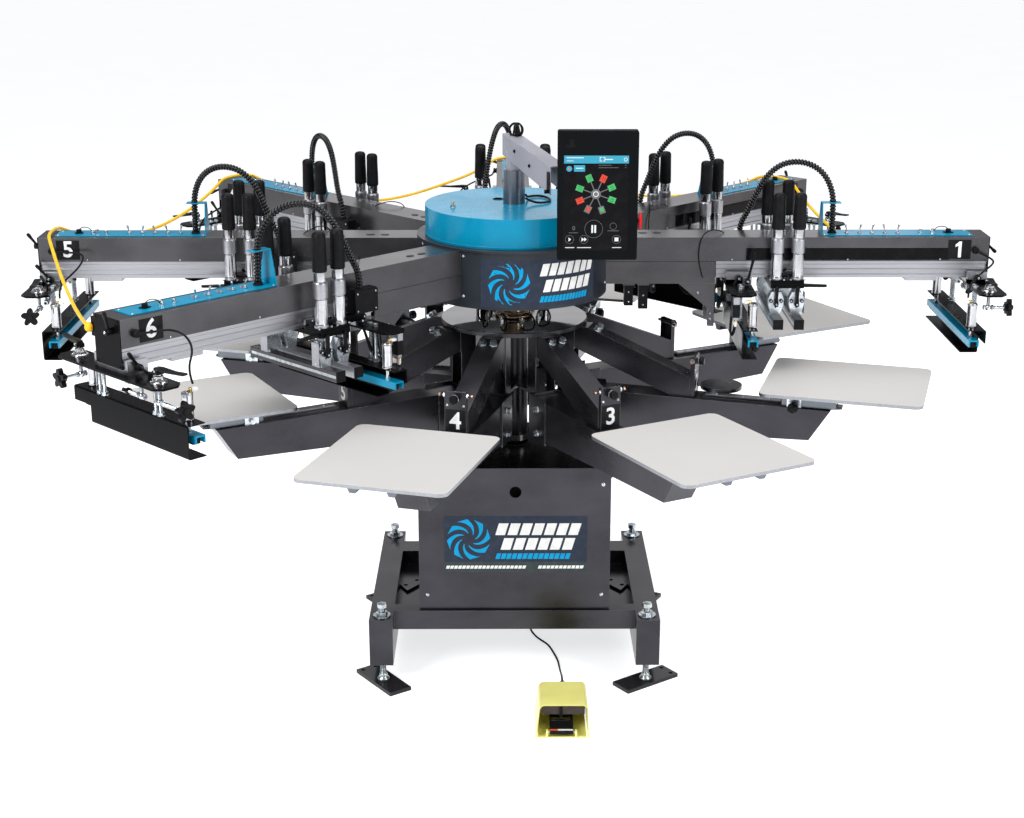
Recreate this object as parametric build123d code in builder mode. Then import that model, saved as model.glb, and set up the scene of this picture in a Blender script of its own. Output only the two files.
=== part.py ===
"""Floor-standing carousel screen printing press: six print heads over eight pallets.

Units are millimetres. The origin is on the floor under the machine's vertical axis,
+Z is up and -Y is the loading side. Heads stand at fixed bearings, 45 degrees apart
from +X; the pallets' bearings are counted the same way.
"""

import os
from math import cos, radians, sin, tan

from build123d import *

os.makedirs("parts", exist_ok=True)

# ---------------------------------------------------------------- driving dimensions
HEAD_COUNT = 6
PALLET_COUNT = 8
PITCH_DEG = 45.0
FIRST_PALLET_DEG = 28.09        # the carousel is parked between two stations

FRAME_HALF_W = 442.6            # over the two side tubes
FRAME_HALF_D = 370.0
SIDE_TUBE_W = 72.0
SIDE_TUBE_Z = (73.0, 222.0)
CROSS_Z = 160.0
FRONT_CROSS_Y = (-296.0, -246.0)
REAR_CROSS_Y = (190.0, 278.0)
TUBE_WALL = 4.0
STUD_X, STUD_Y = 405.0, 331.0
STUD_R = 10.0
FOOT_SIZE = (200.0, 75.0, 12.0)
FOOT_HOLE_X, FOOT_HOLE_Y, FOOT_HOLE_R = 84.0, 22.0, 6.5
FOOT_TURNS = {(-1, -1): -54.6, (1, -1): 35.8, (-1, 1): 35.8, (1, 1): -29.4}

CABINET_HALF_W = 288.0
CABINET_Y = (-281.5, 185.0)
CABINET_TOP = 676.0
PANEL_TOP = 681.0
SHEET = 3.0

COLUMN_R = 22.0
SLEEVE_R = 27.0
HUB_TUBE_R = 42.0
BUSH_R = 32.5
RUNNING_GAP = 0.05

DRUM_R = 282.4
DRUM_Z = (1168.0, 1338.6)
FLANGE_R = 295.0
FLANGE_T = 6.7
LID_R = 270.0
LID_Z = (1345.3, 1433.5)
MAST_R = 33.0
MAST_TOP = 1536.5
BOOM_POST_R = 24.0

TOP_PLATE_R = 225.0
TOP_PLATE_Z = (1070.0, 1081.3)
ARM_W = 90.0
ARM_TOP = 880.0
RAIL_H = 7.0
BRACE_W = 65.0
BRACKET_R = 572.0
PALLET_R0 = 791.6
PALLET_SIZE = (465.0, 406.0)
PALLET_TOP = 957.4
PALLET_T = 9.0
PALLET_SADDLE_Z = 875.0
RIB_R = (805.0, 1225.0)
RIB_S, RIB_W, RIB_H = 52.0, 38.0, 24.0

BEAM_W = 115.5
BEAM_Z = (1265.0, 1338.5)
BEAM_END = 1434.0
LOWER_Z = (1195.0, 1263.5)
LOWER_END = 611.0
RAIL_Z = (1212.8, 1264.6)
RAIL_W = 100.0
STOP_R = (1190.0, 1285.0)       # where the print stroke ends
STRIP_TOP = 1341.0

STROKE_R = 818.0                # carriage centre when parked
CYLINDER_PITCH = 62.0
CYLINDER_S = 113.0
ROD_R = 8.0
BAR_Z = (1085.0, 1115.0)
BAR_HALF_L = 190.0
HOSE_R = 968.0
HOSE_D = 17.0
BOX_TOP = 1307.7                # the junction box that each hose runs down to
WEB_OUT_R = 1388.0              # the outer screen holder's web
WEB_IN_R = 672.0                # the inner screen holder's web
HOLDER_TOP = 1100.0
HOLDER_FLOOR = 1012.0
HOLDER_HALF_W = 256.0
NOTCH_S = 180.0
MICRO_Z = (1194.0, 1200.0)
MICRO_S = 232.0
BLOCK_Z = (1179.0, 1235.0)
CLAMP_S = 213.0
CLAMP_BAR_Z = (1050.0, 1070.0)
CLAMP_BAR_W = 30.0
DOME_R, DOME_S = 1412.0, 178.0
SPINDLE_Z = 1150.0
KNOB_R = 22.0
KNOB_T = 22.0

BOOM_BEARING = -66.0
BOOM_END = 305.0
PANEL_PIN = (134.0, -272.0)
PANEL_X = (120.7, 348.5)
PANEL_Y = (-340.0, -305.0)
PANEL_Z = (1332.0, 1699.5)
ESTOP_Y = -322.0
ESTOP_Z = 1442.0
ESTOP_HEAD_R = 24.0

PEDAL_CORD_D = 6.5
GLAND_Z = 121.0                 # lower end of the gland that the pedal cord leaves by
SAFETY_CORD_D = 10.0
CORD_BALL_R = 11.0

HEADS = [PITCH_DEG * n for n in range(HEAD_COUNT)]
PALLETS = [FIRST_PALLET_DEG + PITCH_DEG * n for n in range(PALLET_COUNT)]


def turned(angles):
    """Locations that repeat what is drawn along +X at each bearing."""
    return [Location((0, 0, 0), (0, 0, angle)) for angle in angles]


def radial_plane(angle, side=0.0):
    """A vertical plane along a bearing: x runs outward, y runs up."""
    outward = Vector(cos(radians(angle)), sin(radians(angle)), 0)
    across = Vector(-outward.Y, outward.X, 0)
    return Plane(origin=across * side, x_dir=outward, z_dir=-across)


def span_box(x, y, z, mode=Mode.ADD):
    """A box from its low and high limit along each axis."""
    with Locations(((x[0] + x[1]) / 2, (y[0] + y[1]) / 2, (z[0] + z[1]) / 2)):
        Box(x[1] - x[0], y[1] - y[0], z[1] - z[0], mode=mode)


def span_cylinder(x, y, z, radius, mode=Mode.ADD):
    """An upright cylinder from its lower to its upper end."""
    with Locations((x, y, (z[0] + z[1]) / 2)):
        Cylinder(radius=radius, height=z[1] - z[0], mode=mode)


def square_tube(x, half_width, z):
    """A rectangular tube along X, open at both ends."""
    span_box(x, (-half_width, half_width), z)
    inner = half_width - TUBE_WALL
    bore_z = (z[0] + TUBE_WALL, z[1] - TUBE_WALL)
    span_box((x[0] - 1, x[1] + 1), (-inner, inner), bore_z, Mode.SUBTRACT)


def box_section(angles, outline, width):
    """A welded box piece along each bearing, from its side view, open towards the axis."""
    planes = [radial_plane(angle) for angle in angles]
    with BuildSketch(*planes) as side_view:
        with BuildLine():
            Polyline(*outline, close=True)
        make_face()
    extrude(side_view.sketch, amount=width / 2, both=True)
    with BuildSketch(*planes) as hollow:
        with BuildLine():
            Polyline(*outline, close=True)
        make_face()
        offset(amount=-TUBE_WALL, kind=Kind.INTERSECTION, mode=Mode.REPLACE)
    inner = width / 2 - TUBE_WALL
    extrude(hollow.sketch, amount=inner, both=True, mode=Mode.SUBTRACT)
    mouth_r = min(r for r, z in outline)
    mouth_z = [z for r, z in outline if r == mouth_r]
    with Locations(turned(angles)):
        span_box(
            (mouth_r - 1, mouth_r + 2 * TUBE_WALL),
            (-inner, inner),
            (min(mouth_z) + 2 * TUBE_WALL, max(mouth_z) - 2 * TUBE_WALL),
            Mode.SUBTRACT,
        )


def hex_nut(x, y, z, across):
    """An upright hexagon prism between two heights."""
    with BuildSketch(Plane.XY.offset(z[0])) as hexagon:
        with Locations((x, y)):
            RegularPolygon(radius=across / 2, side_count=6, major_radius=False)
    extrude(hexagon.sketch, amount=z[1] - z[0])


def corner_radii(points):
    """The largest arc that each corner's two runs allow."""
    radii = []
    for before, here, after in zip(points, points[1:], points[2:]):
        run_in = Vector(*here) - Vector(*before)
        run_out = Vector(*after) - Vector(*here)
        half_turn = radians(run_in.get_angle(run_out)) / 2
        radii.append(0.45 * min(run_in.length, run_out.length) / tan(half_turn))
    return radii


def cord_tube(points, diameter):
    """Sweep a round section along straight runs joined by tangent arcs."""
    radii = corner_radii(points)
    with BuildLine() as route:
        FilletPolyline(*points, radius=radii)
    path = route.wire()
    with BuildSketch(Plane(origin=path @ 0, z_dir=path % 0)) as section:
        Circle(diameter / 2)
    sweep(sections=section.sketch, path=path)
    return path.length, min(radii)


def save(builder, label):
    """Name one finished piece and write it."""
    builder.part.label = label
    export_step(builder.part, f"parts/{label}.step")


def save_group(builders, label, angles):
    """Write pieces drawn along +X, as separate solids of one node, at each bearing."""
    pieces = [builder.part.rotate(Axis.Z, angle) for angle in angles for builder in builders]
    group = Compound(children=pieces)
    group.label = label
    export_step(group, f"parts/{label}.step")


# ---------------------------------------------------------------- base
def folded_tube(x, y, z):
    """A folded section, open underneath, with closed ends."""
    span_box(x, y, z)
    span_box(
        (x[0] + TUBE_WALL, x[1] - TUBE_WALL),
        (y[0] + TUBE_WALL, y[1] - TUBE_WALL),
        (z[0] - 1, z[1] - TUBE_WALL),
        mode=Mode.SUBTRACT,
    )


inner_x = FRAME_HALF_W - SIDE_TUBE_W
with BuildPart() as base_frame:
    for side in (-1, 1):
        limits = sorted((side * inner_x, side * FRAME_HALF_W))
        folded_tube(limits, (-FRAME_HALF_D, FRAME_HALF_D), SIDE_TUBE_Z)
    for cross in (FRONT_CROSS_Y, REAR_CROSS_Y):
        folded_tube((-inner_x, inner_x), cross, (CROSS_Z, SIDE_TUBE_Z[1]))
    floor_y = (FRONT_CROSS_Y[1], REAR_CROSS_Y[0])
    span_box((-inner_x, inner_x), floor_y, (CROSS_Z, CROSS_Z + 6))
    for side in (-1, 1):
        limits = sorted((side * 255, side * 285))
        span_box(limits, floor_y, (CROSS_Z + 6, SIDE_TUBE_Z[1]))
    with BuildSketch(Plane.XY.offset(CROSS_Z + 6)):
        for side in (-1, 1):
            with BuildLine():
                Polyline(
                    (side * inner_x, REAR_CROSS_Y[0]),
                    (side * inner_x, 20),
                    (side * 345, -30),
                    (side * 296, 40),
                    (side * 296, REAR_CROSS_Y[0]),
                    close=True,
                )
            make_face()
        with Locations((-352, 15), (352, 15), (-318, 55), (318, 55)):
            Circle(7, mode=Mode.SUBTRACT)
    extrude(amount=8)
    span_cylinder(50, 118, (GLAND_Z, CROSS_Z), 9)
    with Locations((-STUD_X, 0, 0), (STUD_X, 0, 0)):
        with Locations((0, -STUD_Y, SIDE_TUBE_Z[1]), (0, STUD_Y, SIDE_TUBE_Z[1])):
            Cylinder(radius=STUD_R + 0.5, height=20, mode=Mode.SUBTRACT)
save(base_frame, "base_frame")

with BuildPart() as foot_plates:
    for (side_x, side_y), turn in FOOT_TURNS.items():
        place = Location((side_x * STUD_X, side_y * STUD_Y, FOOT_SIZE[2] / 2), (0, 0, turn))
        with Locations(place):
            Box(*FOOT_SIZE)
            with GridLocations(2 * FOOT_HOLE_X, 2 * FOOT_HOLE_Y, 2, 2):
                Cylinder(radius=FOOT_HOLE_R, height=20, mode=Mode.SUBTRACT)
save(foot_plates, "foot_plates")

with BuildPart() as levelling_studs:
    for x in (-STUD_X, STUD_X):
        for y in (-STUD_Y, STUD_Y):
            span_cylinder(x, y, (12, 262), STUD_R)
            span_cylinder(x, y, (222, 226), 27)
            for nut in ((12, 28), (52, 68), (226, 244), (262, 280)):
                hex_nut(x, y, nut, 32)
save(levelling_studs, "levelling_studs")

# ---------------------------------------------------------------- cabinet and column
with BuildPart() as cabinet_shell:
    span_box((-CABINET_HALF_W, CABINET_HALF_W), CABINET_Y, (SIDE_TUBE_Z[1], CABINET_TOP))
    span_box(
        (-CABINET_HALF_W + SHEET, CABINET_HALF_W - SHEET),
        (CABINET_Y[0] - 1, CABINET_Y[1] - SHEET),
        (SIDE_TUBE_Z[1] - 1, CABINET_TOP - SHEET),
        mode=Mode.SUBTRACT,
    )
    span_cylinder(0, 0, (CABINET_TOP - 10, CABINET_TOP + 10), 45, mode=Mode.SUBTRACT)
save(cabinet_shell, "cabinet_shell")

panel_plane = Plane(origin=(0, CABINET_Y[0], 0), x_dir=(1, 0, 0), z_dir=(0, -1, 0))
with BuildPart() as cabinet_front:
    with BuildSketch(panel_plane):
        with BuildLine():
            Polyline(
                (-291.5, SIDE_TUBE_Z[1]),
                (-291.5, 658),
                (-266, PANEL_TOP),
                (266, PANEL_TOP),
                (291.5, 658),
                (291.5, SIDE_TUBE_Z[1]),
                close=True,
            )
        make_face()
        with Locations((3, 605)):
            Circle(17, mode=Mode.SUBTRACT)
    extrude(amount=SHEET)
save(cabinet_front, "cabinet_front")

with BuildPart() as column:
    span_cylinder(0, 0, (CROSS_Z + 6, DRUM_Z[1]), COLUMN_R)
    span_cylinder(0, 0, (CROSS_Z + 6, CROSS_Z + 36), 70)
save(column, "column")

# ---------------------------------------------------------------- head drum, lid, mast
with BuildPart() as head_drum:
    span_cylinder(0, 0, DRUM_Z, DRUM_R)
    span_cylinder(0, 0, (DRUM_Z[0] + 5, DRUM_Z[1] + 1), DRUM_R - 4, mode=Mode.SUBTRACT)
    span_cylinder(0, 0, (DRUM_Z[0] - 1, DRUM_Z[0] + 6), 120, mode=Mode.SUBTRACT)
    span_cylinder(0, 0, (DRUM_Z[1], DRUM_Z[1] + FLANGE_T), FLANGE_R)
save(head_drum, "head_drum")

with BuildPart() as drum_lid:
    span_cylinder(0, 0, LID_Z, LID_R)
    span_cylinder(0, 0, (LID_Z[0] - 1, LID_Z[1] - SHEET), LID_R - SHEET, mode=Mode.SUBTRACT)
    span_cylinder(0, 0, (LID_Z[1] - 10, LID_Z[1] + 10), MAST_R + 0.3, mode=Mode.SUBTRACT)
    span_cylinder(-48, 62, (LID_Z[1] - 10, LID_Z[1] + 10), 15, mode=Mode.SUBTRACT)
save(drum_lid, "drum_lid")

with BuildPart() as mast:
    span_cylinder(0, 0, (DRUM_Z[1] + FLANGE_T, MAST_TOP), MAST_R)
    span_cylinder(0, 0, (1441, MAST_TOP + 1), BOOM_POST_R + RUNNING_GAP, mode=Mode.SUBTRACT)
save(mast, "mast")

# ---------------------------------------------------------------- head arms
with BuildPart() as head_beams:
    with Locations(turned(HEADS)):
        square_tube((200, BEAM_END), BEAM_W / 2, BEAM_Z)
        span_box((700, 1320), (-BEAM_W / 2 - 1, -BEAM_W / 2 + 2), (1268, 1306), Mode.SUBTRACT)
    span_cylinder(0, 0, (1100, 1400), DRUM_R + 0.2, mode=Mode.SUBTRACT)
save(head_beams, "head_beams")

with BuildPart() as lower_beams:
    with Locations(turned(HEADS)):
        square_tube((200, LOWER_END), 55, LOWER_Z)
    span_cylinder(0, 0, (1100, 1400), DRUM_R + 0.2, mode=Mode.SUBTRACT)
save(lower_beams, "lower_beams")

with BuildPart() as head_rail:
    square_tube((LOWER_END + 2, BEAM_END), RAIL_W / 2, RAIL_Z)
with BuildPart() as stroke_stop:
    span_box(STOP_R, (-RAIL_W / 2, RAIL_W / 2), (RAIL_Z[0] - 10, RAIL_Z[0]))
save_group((head_rail, stroke_stop), "head_rails", HEADS)

with BuildPart() as end_plates:
    with Locations(turned(HEADS)):
        span_box((BEAM_END + 0.2, BEAM_END + 3), (-BEAM_W / 2, BEAM_W / 2), (RAIL_Z[0], BEAM_Z[1]))
    with Locations(turned(HEADS[-1:])):
        span_box((1405, 1433), (-78, -BEAM_W / 2), (1276, 1326))
    span_box((1324, 1356), (BEAM_W / 2, 65), (1296, 1334))
save(end_plates, "end_plates")

with BuildPart() as control_strip:
    span_box((932, 1389), (-38.5, 38.5), (BEAM_Z[1], STRIP_TOP))
with BuildPart() as hose_bracket:
    with BuildSketch(Plane(origin=(932, 0, 0), x_dir=(0, 0, 1), z_dir=(1, 0, 0))):
        with BuildLine():
            Polyline(
                (STRIP_TOP, -36),
                (STRIP_TOP, 36),
                (1436, 14),
                (1436, -14),
                close=True,
            )
        make_face()
    extrude(amount=3)
    span_box((935, 990), (-14, 14), (1433, 1436))
    span_cylinder(HOSE_R, 0, (1430, 1440), 11, Mode.SUBTRACT)
save_group((control_strip, hose_bracket), "control_strips", HEADS)

# ---------------------------------------------------------------- carousel
with BuildPart() as lift_sleeve:
    span_cylinder(0, 0, (690, 1069), SLEEVE_R)
    span_cylinder(0, 0, (690, 708), 54)
    span_cylinder(0, 0, (600, 1200), COLUMN_R + RUNNING_GAP, mode=Mode.SUBTRACT)
save(lift_sleeve, "lift_sleeve")

with BuildPart() as shaft_bush:
    span_cylinder(0, 0, (1069, 1083.3), SLEEVE_R)
    span_cylinder(0, 0, (1083.3, 1150), BUSH_R)
    span_cylinder(0, 0, (600, 1200), COLUMN_R + RUNNING_GAP, mode=Mode.SUBTRACT)
save(shaft_bush, "shaft_bush")

ARM_START_R = 182
ARM_OUTLINE = [
    (ARM_START_R, ARM_TOP - 0.8),
    (985, 873),
    (926, 778),
    (333, 759),
    (ARM_START_R, 737),
]
BRACE_OUTLINE = [
    (202.3, 1069.7),
    (244, 1069.7),
    (562, 939),
    (562, ARM_TOP - 3.3),
    (504, ARM_TOP - 2.8),
    (202.3, 1004),
]
HUB_PLATE_S = 34
CHEEK_R = (ARM_START_R + 3, 285)
CHEEK_S = (ARM_W / 2 + 0.3, ARM_W / 2 + 4.3)
with BuildPart() as carousel_hub:
    span_cylinder(0, 0, (709, TOP_PLATE_Z[1]), HUB_TUBE_R)
    span_cylinder(0, 0, TOP_PLATE_Z, TOP_PLATE_R)
    with Locations(turned(PALLETS)):
        span_box((30, 199), (-HUB_PLATE_S, HUB_PLATE_S), (ARM_TOP, ARM_TOP + 8))
        span_box((CHEEK_R[0], 199), (-CHEEK_S[1], CHEEK_S[1]), (ARM_TOP, ARM_TOP + 8))
        span_box(CHEEK_R, CHEEK_S, (748, ARM_TOP + 8))
        span_box(CHEEK_R, (-CHEEK_S[1], -CHEEK_S[0]), (748, ARM_TOP + 8))
        span_box((150, 199), (HUB_PLATE_S - 3, HUB_PLATE_S), (ARM_TOP + 8, TOP_PLATE_Z[0]))
        span_box((150, 199), (-HUB_PLATE_S, 3 - HUB_PLATE_S), (ARM_TOP + 8, TOP_PLATE_Z[0]))
        span_box((196, 202), (-HUB_PLATE_S, HUB_PLATE_S), (1000, TOP_PLATE_Z[0]))
    span_cylinder(0, 0, (600, 1200), SLEEVE_R + RUNNING_GAP, mode=Mode.SUBTRACT)
save(carousel_hub, "carousel_hub")

with BuildPart() as pallet_arms:
    box_section(PALLETS, ARM_OUTLINE, ARM_W)
    with BuildSketch(*[radial_plane(angle) for angle in PALLETS]):
        with BuildLine():
            Polyline(
                (600, 873),
                (985, 869),
                (1016, 872.7),
                (1016, 872.7 + RAIL_H),
                (600, 876.1 + RAIL_H),
                close=True,
            )
        make_face()
    extrude(amount=15, both=True)
save(pallet_arms, "pallet_arms")

with BuildPart() as arm_braces:
    box_section(PALLETS, BRACE_OUTLINE, BRACE_W)
save(arm_braces, "arm_braces")

with BuildPart() as number_brackets:
    with Locations(turned(PALLETS)):
        span_box((BRACKET_R, BRACKET_R + 4), (-32, 32), (ARM_TOP - 3, 1003))
        span_box((BRACKET_R - 9, BRACKET_R), (-32, -29), (ARM_TOP - 3, 1003))
        span_box((BRACKET_R - 9, BRACKET_R), (29, 32), (ARM_TOP - 3, 1003))
        with Locations(Location((BRACKET_R - 3, 0, 990), (90, 0, 0))):
            Cylinder(radius=4, height=94)
        with Locations(Location((BRACKET_R + 12, 0, 983), (0, 90, 0))):
            Cylinder(radius=9, height=18)
    with Locations(turned(PALLETS[-1:])):
        span_cylinder(640, 72, (883.2, 895), 63)
save(number_brackets, "number_brackets")

with BuildPart() as pallets:
    with Locations(turned(PALLETS)):
        with Locations((PALLET_R0 + PALLET_SIZE[0] / 2, 0, PALLET_TOP - PALLET_T / 2)):
            Box(*PALLET_SIZE, PALLET_T)
    fillet(pallets.edges().filter_by(Axis.Z), radius=25)
save(pallets, "pallets")

under = PALLET_TOP - PALLET_T
with BuildPart() as pallet_clamps:
    for angle in PALLETS:
        outward = Vector(cos(radians(angle)), sin(radians(angle)), 0)
        with BuildSketch(Plane(origin=outward * RIB_R[0], x_dir=(0, 0, 1), z_dir=outward)):
            for side in (-RIB_S, RIB_S):
                with BuildLine():
                    Polyline(
                        (under, side - RIB_W / 2),
                        (under, side + RIB_W / 2),
                        (under - RIB_H, side + 8),
                        (under - RIB_H, side - 8),
                        close=True,
                    )
                make_face()
        extrude(amount=RIB_R[1] - RIB_R[0])
    with Locations(turned(PALLETS)):
        span_box((840, 1000), (-32, 32), (PALLET_SADDLE_Z, under))
        span_box((839, 1001), (-15.3, 15.3), (PALLET_SADDLE_Z - 1, 885), Mode.SUBTRACT)
        with Locations(Location((877, -42, 880), (90, 0, 0))):
            Cylinder(radius=4, height=20)
        with Locations(Location((877, -60, 880), (90, 0, 0))):
            Cylinder(radius=13, height=18)
save(pallet_clamps, "pallet_clamps")

# ---------------------------------------------------------------- screen holders
def holder_channel(web, lip, notch_side):
    """A folded channel across the head whose open side faces `lip`, notched at one end."""
    web_r = sorted((web, web + SHEET))
    flange_r = sorted((lip, web + SHEET))
    low, high = (-HOLDER_HALF_W, NOTCH_S) if notch_side > 0 else (-NOTCH_S, HOLDER_HALF_W)
    span_box(web_r, (low, high), (HOLDER_FLOOR, HOLDER_TOP))
    span_box(web_r, (-HOLDER_HALF_W, HOLDER_HALF_W), (1060, HOLDER_TOP))
    span_box(flange_r, (low, high), (HOLDER_FLOOR, HOLDER_FLOOR + SHEET))
    span_box(flange_r, (-HOLDER_HALF_W, HOLDER_HALF_W), (HOLDER_TOP - SHEET, HOLDER_TOP))


def screen_clamp(radius):
    """Two air cylinders that press a padded bar down on a screen frame."""
    for side in (-CLAMP_S, CLAMP_S):
        span_cylinder(radius, side, (HOLDER_TOP, 1172), 15)
        span_cylinder(radius, side, (CLAMP_BAR_Z[1] - 1, HOLDER_TOP), 5)
    limits = (radius - CLAMP_BAR_W / 2, radius + CLAMP_BAR_W / 2)
    span_box(limits, (-260, 260), CLAMP_BAR_Z)
    span_box((limits[0] + 4, limits[1] - 4), (-258, 258), (CLAMP_BAR_Z[0] - 6, CLAMP_BAR_Z[0]))


def hanger(plate_r, stud_r, blocks_r):
    """The plate over a holder, its four studs and the two blocks that clamp it to a head."""
    with BuildSketch(Plane.XY.offset(MICRO_Z[0])) as plate:
        with Locations(((plate_r[0] + plate_r[1]) / 2, 0)):
            Rectangle(plate_r[1] - plate_r[0], 2 * MICRO_S)
        chamfer(plate.vertices(), 20)
    extrude(plate.sketch, amount=MICRO_Z[1] - MICRO_Z[0])
    span_box(blocks_r, (-75, 75), (MICRO_Z[1], RAIL_Z[0] - 0.3))
    for side in (-1, 1):
        span_box(blocks_r, sorted((side * 58.5, side * 75)), BLOCK_Z)
        for offset in (116, 137):
            span_cylinder(stud_r, side * offset, (HOLDER_TOP, 1208), 5)
            hex_nut(stud_r, side * offset, (HOLDER_TOP, HOLDER_TOP + 8), 16)
            hex_nut(stud_r, side * offset, (MICRO_Z[1], MICRO_Z[1] + 7), 16)


def adjuster(r, side, turn, reach, knob_radius):
    """An eye bolt under the plate and a spindle through it that ends in a hand knob."""
    span_cylinder(r, side, (SPINDLE_Z, MICRO_Z[0]), 6)
    spindle = Location((r, side, SPINDLE_Z), (0, 90, turn))
    with Locations(spindle):
        Sphere(radius=10)
    with Locations(spindle * Location((0, 0, reach / 2))):
        Cylinder(radius=5, height=reach)
    with Locations(spindle * Location((0, 0, reach + KNOB_T / 2))):
        Cylinder(radius=knob_radius, height=KNOB_T)


with BuildPart() as inner_holder:
    holder_channel(WEB_IN_R, WEB_IN_R + 45, 1)
    screen_clamp(WEB_IN_R + 32.6)
    hanger((640, 716), WEB_IN_R + 8, (642, 716))
save_group((inner_holder,), "inner_holders", HEADS)

with BuildPart() as outer_holder:
    holder_channel(WEB_OUT_R, WEB_OUT_R - 50, -1)
    screen_clamp(WEB_OUT_R - 32)
    hanger((1373, 1455), WEB_OUT_R - 4, (1373, 1432))
    for side in (-DOME_S, DOME_S):
        span_cylinder(DOME_R, side, (MICRO_Z[1], MICRO_Z[1] + 24), 22)
    adjuster(DOME_R, -DOME_S, 0, 48, KNOB_R)
    adjuster(DOME_R, 100, -90, 55, 10)
    adjuster(DOME_R, DOME_S, 90, 62, KNOB_R)
for number, angle in enumerate(HEADS, 1):
    save_group((outer_holder,), f"outer_holder_{number}", (angle,))

# ---------------------------------------------------------------- print carriages
CYLINDERS_R = (STROKE_R - CYLINDER_PITCH / 2, STROKE_R + CYLINDER_PITCH / 2)
CYLINDER_PROFILE = ((1223, 1308, 18), (1308, 1349, 20.5), (1349, 1375, 17), (1375, 1484, 20))
carriage_plate_r = (STROKE_R - 50, STROKE_R + 50)
with BuildPart() as carriage_plate:
    span_box(carriage_plate_r, (-135, 135), (1199, 1211))
    for side in (-1, 1):
        span_box(carriage_plate_r, sorted((side * 62, side * 135)), (1211, 1223))
        for r in CYLINDERS_R:
            span_cylinder(r, side * CYLINDER_S, (1190, 1230), ROD_R + RUNNING_GAP, Mode.SUBTRACT)
with BuildPart() as air_cylinders:
    for side in (-CYLINDER_S, CYLINDER_S):
        for r in CYLINDERS_R:
            for low, high, radius in CYLINDER_PROFILE:
                span_cylinder(r, side, (low, high), radius)
            span_cylinder(r, side, (1190, 1290), ROD_R + RUNNING_GAP, Mode.SUBTRACT)
with BuildPart() as junction_box:
    span_box((700, carriage_plate_r[0]), (84, 112), (1217, 1236))
    span_box((650, 730), (80, 116), (1236, BOX_TOP))


def tool_bar(radius):
    """A square bar and the two rods and hangers that it hangs from."""
    with BuildPart() as bar:
        span_box((radius - 15, radius + 15), (-BAR_HALF_L, BAR_HALF_L), BAR_Z)
    with BuildPart() as rods:
        for side in (-CYLINDER_S, CYLINDER_S):
            span_cylinder(radius, side, (1186, 1283), ROD_R)
    with BuildPart() as hangers:
        for side in (-1, 1):
            lug_s = sorted((side * 104, side * 122))
            span_box((radius - 15, radius + 15), lug_s, (1150, 1186))
            for inner in (98, 122):
                plate_s = sorted((side * inner, side * (inner + 6)))
                span_box((radius - 23, radius + 23), plate_s, (BAR_Z[1], 1186))
    return bar, rods, hangers


squeegee = tool_bar(CYLINDERS_R[0])
flood_bar = tool_bar(CYLINDERS_R[1])

HOSE_ROUTE = [
    (HOSE_R, 0, STRIP_TOP),
    (HOSE_R, 0, 1405),
    (966, 3, 1462),
    (942, 13, 1513),
    (904, 26, 1543),
    (853, 41, 1553),
    (800, 57, 1540),
    (757, 71, 1501),
    (727, 83, 1447),
    (698, 96, 1378),
    (698, 96, BOX_TOP + 0.3),
]
with BuildPart() as hose:
    hose_length, hose_bend = cord_tube(HOSE_ROUTE, HOSE_D)

for number, angle in enumerate(HEADS, 1):
    carriage = (carriage_plate, air_cylinders, junction_box)
    save_group(carriage, f"carriage_{number}", (angle,))
    save_group(squeegee, f"squeegee_{number}", (angle,))
    save_group(flood_bar, f"flood_bar_{number}", (angle,))
    save_group((hose,), f"hose_{number}", (angle,))

# ---------------------------------------------------------------- boom and touch panel
with BuildPart() as boom:
    span_cylinder(0, 0, (1443, 1600), BOOM_POST_R)
    with BuildSketch(radial_plane(BOOM_BEARING)):
        with BuildLine():
            Polyline((-30, 1641), (-30, 1577), (BOOM_END, 1509), (BOOM_END, 1591), close=True)
        make_face()
    extrude(amount=25, both=True)
    with BuildSketch(radial_plane(BOOM_BEARING)):
        with BuildLine():
            Polyline((30, 1628), (30, 1560), (BOOM_END + 1, 1500), (BOOM_END + 1, 1587.8), close=True)
        make_face()
    extrude(amount=22, both=True, mode=Mode.SUBTRACT)
    span_cylinder(*PANEL_PIN, (1450, 1590), 8)
save(boom, "boom")

with BuildPart() as touch_panel:
    span_box(PANEL_X, PANEL_Y, PANEL_Z)
    fillet(touch_panel.edges().filter_by(Axis.Y), radius=6)
    span_box((PANEL_X[0] + 15, PANEL_X[1] - 26), (-341, -338), (1358, 1634), Mode.SUBTRACT)
    span_box((PANEL_PIN[0] - 12.5, PANEL_PIN[0] + 26), (PANEL_Y[1], PANEL_PIN[1]), (1455, 1497))
    span_cylinder(*PANEL_PIN, (1455, 1497), 12.5)
    span_cylinder(*PANEL_PIN, (1440, 1520), 8 + RUNNING_GAP, Mode.SUBTRACT)
    with Locations(Location((PANEL_X[1] + 0.75, ESTOP_Y, ESTOP_Z), (0, 90, 0))):
        Cylinder(radius=14, height=1.5)
        Cylinder(radius=6 + RUNNING_GAP, height=50, mode=Mode.SUBTRACT)
save(touch_panel, "touch_panel")

with BuildPart() as estop_button:
    with Locations(Location((PANEL_X[1] - 5, ESTOP_Y, ESTOP_Z), (0, 90, 0))):
        Cylinder(radius=6, height=26)
    with Locations(Location((PANEL_X[1] + 8.5, ESTOP_Y, ESTOP_Z), (0, 90, 0))):
        Cylinder(radius=ESTOP_HEAD_R, height=7)
    fillet(estop_button.edges().filter_by(GeomType.CIRCLE).sort_by(Axis.X)[-1], radius=4)
save(estop_button, "estop_button")

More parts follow.
